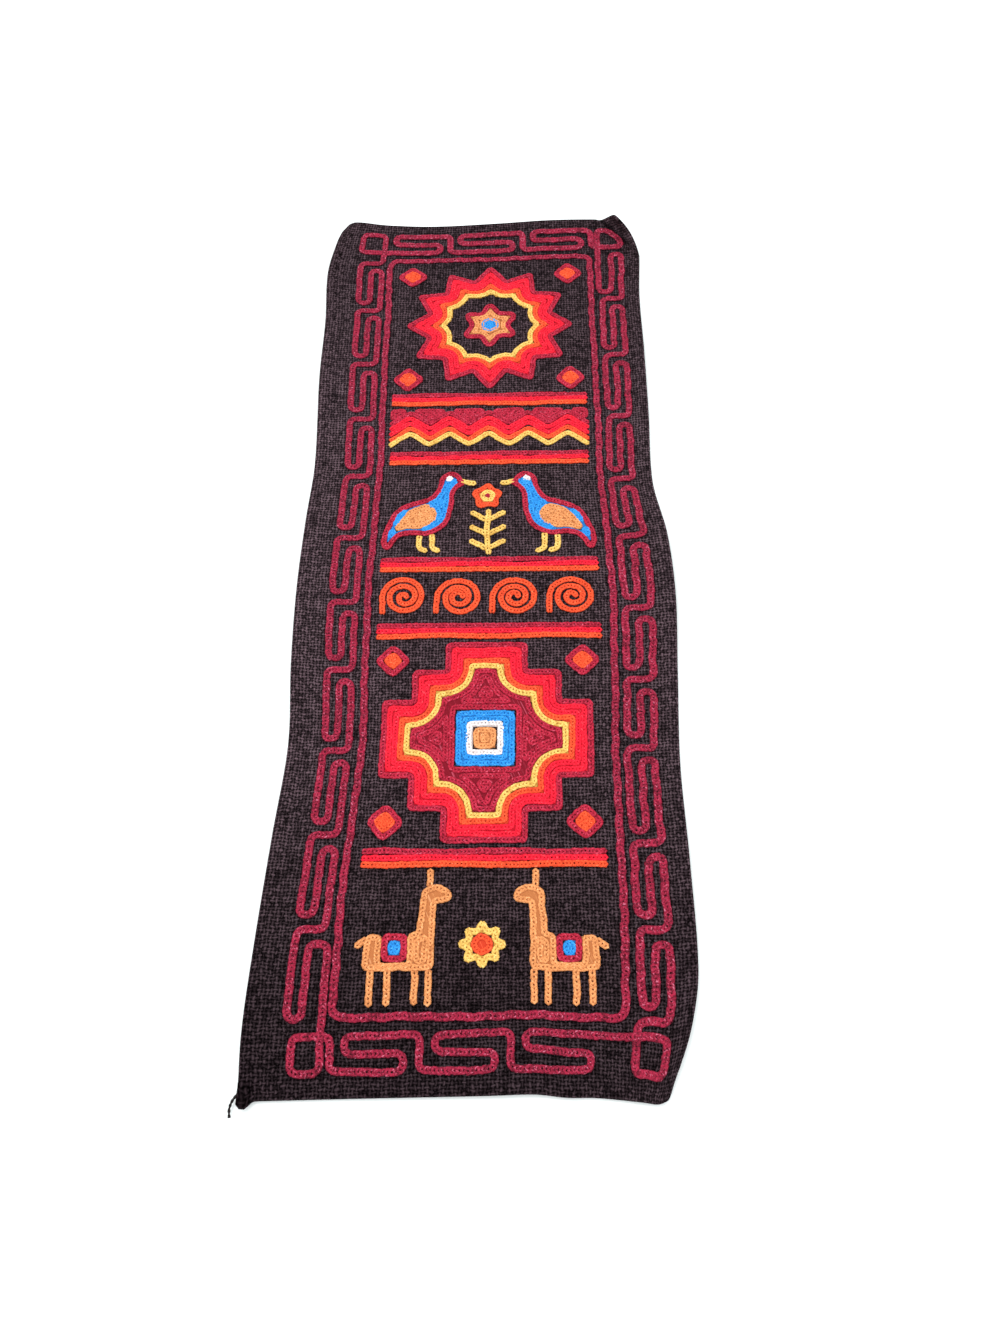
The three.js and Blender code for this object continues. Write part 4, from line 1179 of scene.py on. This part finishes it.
# %% Dye the yarns
YARNS = {  # the dye; a darker tone for random dark fibres and for painted shade on the strand; a painted highlight for loose hairs
    "border_yarn": ((0.35, 0.014, 0.046), (0.065, 0.003, 0.010), (0.55, 0.18, 0.27)),
    "crimson_yarn": ((0.47, 0.017, 0.046), (0.17, 0.003, 0.012), (0.62, 0.12, 0.19)),
    "red_yarn": ((0.80, 0.013, 0.036), (0.52, 0.005, 0.020), (0.90, 0.09, 0.11)),
    "flame_yarn": ((0.80, 0.085, 0.026), (0.52, 0.040, 0.014), (0.92, 0.20, 0.09)),
    "yellow_yarn": ((0.80, 0.52, 0.135), (0.50, 0.26, 0.050), (0.92, 0.70, 0.30)),
    "peach_yarn": ((0.74, 0.30, 0.110), (0.42, 0.14, 0.045), (0.88, 0.48, 0.24)),
    "blue_yarn": ((0.026, 0.28, 0.72), (0.012, 0.14, 0.42), (0.14, 0.45, 0.85)),
    "white_yarn": ((0.80, 0.74, 0.74), (0.50, 0.43, 0.43), (0.92, 0.88, 0.88)),
    "hem_thread": ((0.022, 0.018, 0.018), (0.008, 0.006, 0.006), (0.05, 0.04, 0.04)),
}


YARN_FINISH = {
    "Roughness": 0.92, "Specular IOR Level": 0.2, "Sheen Weight": 0.12, "Sheen Roughness": 0.5,
}
YARN_BUMP, YARN_RELIEF = 0.5, 0.0004


def yarn_material(name, *dyes):
    dye, shade, hair_highlight = ((*colour, 1) for colour in dyes)
    material, tree, shader = new_material(name, {**YARN_FINISH, "Sheen Tint": dye})
    colours = {"Dye": dye, "Shade": shade, "Hair highlight": hair_highlight}
    strand = wire(tree, "ShaderNodeGroup", colours, node_tree=wool).outputs
    tree.links.new(strand["Colour"], shader.inputs["Base Color"])
    bumped(tree, shader, strand["Height"], YARN_BUMP, YARN_RELIEF)
    return material


yarns = {name: yarn_material(name, *dyes) for name, dyes in YARNS.items()}
for piece, yarn in embroidery.items():
    piece.data.materials.append(yarns[yarn])
print("dyed", len(embroidery), "pieces in", len(yarns), "yarns")

# %% [markdown]
# ## Woven ground
#
# The panel is coarse plain weave: each thread passes over one and under one, and a small hole is left
# where four threads meet. In the colour, the crown of each thread gets a light dash as a painted
# highlight, and the holes get painted shade. Threads differ in tone, and lint clings to them. Over all
# of it the colour is painted darker at the lower end and in the creases and paler along the sides, as
# painted light and shade. The threads are far too many for a mesh, so the weave is worked out in the
# material from the flat place of each point.

# %% Threads and their crossings
THREAD_ACROSS, THREAD_ALONG = 2.95, 2.85
STRAY_SCALE, STRAY_DETAIL, THREAD_STRAY = 0.16, 1.0, 1.2  # threads stray a little
CROWN_POWER, CROWN_FLAT, DIP_FLAT = 3.5, 0.5, 0.6  # how narrow and how long a dash is
ROWS_APART = 500.0  # sets the tones of the rows apart from those of the columns
LINE_TONE, FIBRE_TONE, TONE_FROM = 0.2, 1.2, 0.55


def crown(tree, mine, other):
    """The thread on top at a crossing: a light dash along its own way, a painted highlight on its crown.
    """
    return sums(tree, "MULTIPLY", sums(tree, "POWER", mine, CROWN_POWER),
                sums(tree, "MULTIPLY_ADD", other, CROWN_FLAT, CROWN_FLAT))


def dip(tree, mine, other):
    """The thread below: seen only where it comes up on either side."""
    return sums(tree, "MULTIPLY", sums(tree, "POWER", other, CROWN_POWER),
                sums(tree, "MULTIPLY_ADD", mine, -DIP_FLAT, DIP_FLAT))


def weave(tree, place, parts):
    """The height of the weave at a point, and the column and row of the crossing it lies on."""
    stray = noise(tree, place, STRAY_SCALE, STRAY_DETAIL)["Color"]
    stray = wire(tree, "ShaderNodeSeparateXYZ", {"Vector": stray}).outputs
    x, y = (sums(tree, "MULTIPLY_ADD", stray[k], THREAD_STRAY, sums(tree, "DIVIDE", parts[k], pitch))
            for k, pitch in (("X", THREAD_ACROSS), ("Y", THREAD_ALONG)))
    column, row = sums(tree, "FLOOR", x), sums(tree, "FLOOR", y)
    swell_x, swell_y = (
        sums(tree, "SINE", sums(tree, "MULTIPLY", sums(tree, "FRACT", k), math.pi)) for k in (x, y))
    over = sums(tree, "FLOORED_MODULO", sums(tree, "ADD", column, row), 2.0)
    warp, weft = (
        sums(tree, "MAXIMUM", crown(tree, mine, other), dip(tree, mine, other))
        for mine, other in ((swell_x, swell_y), (swell_y, swell_x)))
    return wire(tree, "ShaderNodeMix", {"Factor": over, 2: warp, 3: weft}).outputs[0], column, row


def thread_tone(tree, column, row, fibre):
    """Each crossing has a tone of its own, with a little of its column's and of its row's."""
    cell = wire(tree, "ShaderNodeCombineXYZ", {"X": column, "Y": row}).outputs[0]
    tones = wire(tree, "ShaderNodeTexWhiteNoise", {"Vector": cell}, noise_dimensions="2D").outputs
    column_tone, row_tone = (
        wire(tree, "ShaderNodeTexWhiteNoise", {"W": k}, noise_dimensions="1D").outputs["Value"]
        for k in (column, sums(tree, "ADD", row, ROWS_APART)))
    tone = sums(tree, "ADD", tones["Value"], sums(tree, "MULTIPLY", column_tone, LINE_TONE))
    tone = sums(tree, "MULTIPLY_ADD", row_tone, LINE_TONE, tone)
    return sums(tree, "MULTIPLY_ADD", fibre, FIBRE_TONE, sums(tree, "SUBTRACT", tone, TONE_FROM))


print("threads", THREAD_ACROSS, "by", THREAD_ALONG, "mm apart")

# %% Weave the ground
# The first colour is painted shade for the holes between the threads, the second is the wool where a
# thread's crown takes a painted highlight, and black is what the painted shade across the panel darkens
# towards
HOLE_SHADE, WOOL, BLACK = (0.0026, 0.0018, 0.002, 1), (0.150, 0.096, 0.114, 1), (0, 0, 0, 1)
GROUND_FINISH = {"Roughness": 0.9, "Specular IOR Level": 0.0}
GROUND_BUMP, GROUND_RELIEF = 0.6, 0.0006
FIBRE_SCALE, FIBRE_DETAIL, FIBRE_RELIEF = 0.8, 3.0, 0.4
LINT_SCALE, LINT_DETAIL, LINT_ROUGH, LINT_FROM, LINT_GAIN = 0.9, 2.0, 0.7, 0.55, 1.2
# Painted light and shade across the panel: darkest at the lower end, a little darker at the top and in
# the middle, paler towards the sides
FOOT_TONE, FOOT_LEAN, LOW_TONE, LOW_SPAN = 0.455, 0.0006, 0.94, (-430.0, -130.0)
HIGH_TONE, HIGH_SPAN = 0.76, (150.0, 430.0)
SIDE_TONE, SIDE_LEAN, SIDE_BOW = 0.78, -0.0004, 0.000005
# How much darker the painted shade of the crease and the knob makes the weave; the upright corner gets
# painted light from the same value
CREASE_DARK = -0.85


def painted_light_and_shade(tree, parts):
    """Painted light and shade, as the share of the wool's colour that is kept: less at both ends, in the
    creases and in the middle.
    """
    foot = sums(tree, "MULTIPLY_ADD", parts["X"], FOOT_LEAN, FOOT_TONE)
    low, high = (
        wire(tree, "ShaderNodeMapRange", {"Value": parts["Y"], 1: span[0], 2: span[1], 3: start, 4: end},
             interpolation_type="SMOOTHSTEP").outputs[0]
        for span, start, end in ((LOW_SPAN, foot, LOW_TONE), (HIGH_SPAN, 1.0, HIGH_TONE)))
    side = sums(tree, "MULTIPLY_ADD", sums(tree, "MULTIPLY", parts["X"], parts["X"]), SIDE_BOW,
                sums(tree, "MULTIPLY_ADD", parts["X"], SIDE_LEAN, SIDE_TONE))
    painted_share = sums(tree, "MULTIPLY", low, sums(tree, "MULTIPLY", high, side))
    return sums(tree, "MULTIPLY", painted_share, sums(tree, "MULTIPLY_ADD", parts["Z"], CREASE_DARK, 1.0))


def ground_material():
    material, tree, shader = new_material("ground_cloth", GROUND_FINISH)
    place = wire(tree, "ShaderNodeAttribute", attribute_name="flat_place_and_painted_shade").outputs["Vector"]
    parts = wire(tree, "ShaderNodeSeparateXYZ", {"Vector": place}).outputs
    shape, column, row = weave(tree, place, parts)
    fibre = noise(tree, place, FIBRE_SCALE, FIBRE_DETAIL)["Fac"]
    lint = noise(tree, place, LINT_SCALE, LINT_DETAIL, LINT_ROUGH)["Fac"]
    lint = sums(tree, "MULTIPLY", sums(tree, "SUBTRACT", lint, LINT_FROM), LINT_GAIN)
    tone = thread_tone(tree, column, row, fibre)
    # The weave's height also sets the colour: painted highlight on the thread crowns and painted shade
    # in the holes, with each crossing's own tone and the lint
    pale = sums(tree, "MULTIPLY_ADD", shape, tone, sums(tree, "MAXIMUM", lint, 0.0))
    pale = wire(tree, "ShaderNodeClamp", {"Value": pale}).outputs[0]
    colour = mix_colours(tree, painted_light_and_shade(tree, parts), BLACK, mix_colours(tree, pale, HOLE_SHADE, WOOL))
    tree.links.new(colour, shader.inputs["Base Color"])
    rough = sums(tree, "MULTIPLY_ADD", fibre, FIBRE_RELIEF, shape)
    bumped(tree, shader, rough, GROUND_BUMP, GROUND_RELIEF)
    return material


panel.data.materials.append(ground_material())
print("the ground has", len(panel.data.materials[0].node_tree.nodes), "nodes")

# %% [markdown]
# ## Floor and light
#
# A pale floor and large soft lights keep attention on the colours. The world gives even light from
# all round, and a broad panel on each side brings out the relief of the stitches.

# %% Set the floor
FLOOR_HALF, FLOOR_DROP = 6.0, 0.0004
FLOOR_FINISH = {"Base Color": (0.9, 0.92, 0.92, 1), "Roughness": 0.9}

floor_corners = np.array([(-1, -1, 0), (1, -1, 0), (1, 1, 0), (-1, 1, 0)]) * FLOOR_HALF / MM
floor = add_mesh("floor", floor_corners, [(0, 1, 2, 3)])
floor.location.z = -FLOOR_DROP
pale_floor, _, _ = new_material("pale_floor", FLOOR_FINISH)
floor.data.materials.append(pale_floor)
print("floor", 2 * FLOOR_HALF, "m wide")

# %% Set the light
SKY_COLOUR, SKY_POWER = (0.96, 1.0, 1.0, 1), 1.35
LIGHTS = {  # the place of each light, its size and its power
    "key": ((-0.9, 0.3, 2.1), 1.4, 20),
    "fill": ((1.2, -0.8, 1.8), 1.6, 8),
}

world = bpy.data.worlds.new("studio")
world.use_nodes = True
sky = world.node_tree.nodes["Background"]
sky.inputs["Color"].default_value = SKY_COLOUR
sky.inputs["Strength"].default_value = SKY_POWER
bpy.context.scene.world = world


def soft_light(name, place, size, power):
    """A round panel of light, turned to the middle of the cloth."""
    lamp = bpy.data.lights.new(name, "AREA")
    lamp.shape = "DISK"
    lamp.size = size
    lamp.energy = power
    holder = bpy.data.objects.new(name, lamp)
    holder.location = place
    way = -np.array(place, float)
    level = math.hypot(way[0], way[1])
    holder.rotation_euler = (math.atan2(level, -way[2]), 0, math.atan2(way[0], -way[1]) + math.pi)
    bpy.context.scene.collection.objects.link(holder)


for name, settings in LIGHTS.items():
    soft_light(name, *settings)
bpy.context.scene.view_settings.view_transform = "Standard"

# %% [markdown]
#
# The panel is a sheet of a known cut size, laid on the floor, and the yarn pieces go with it. The
# last lines count the triangles of the panel and of the yarn pieces.

# %% Count the triangles
pieces = [panel, *embroidery]
triangles = [sum(len(face.vertices) - 2 for face in piece.data.polygons) for piece in pieces]
print("triangles:", sum(triangles), "in all,", max(triangles), "in the largest piece")
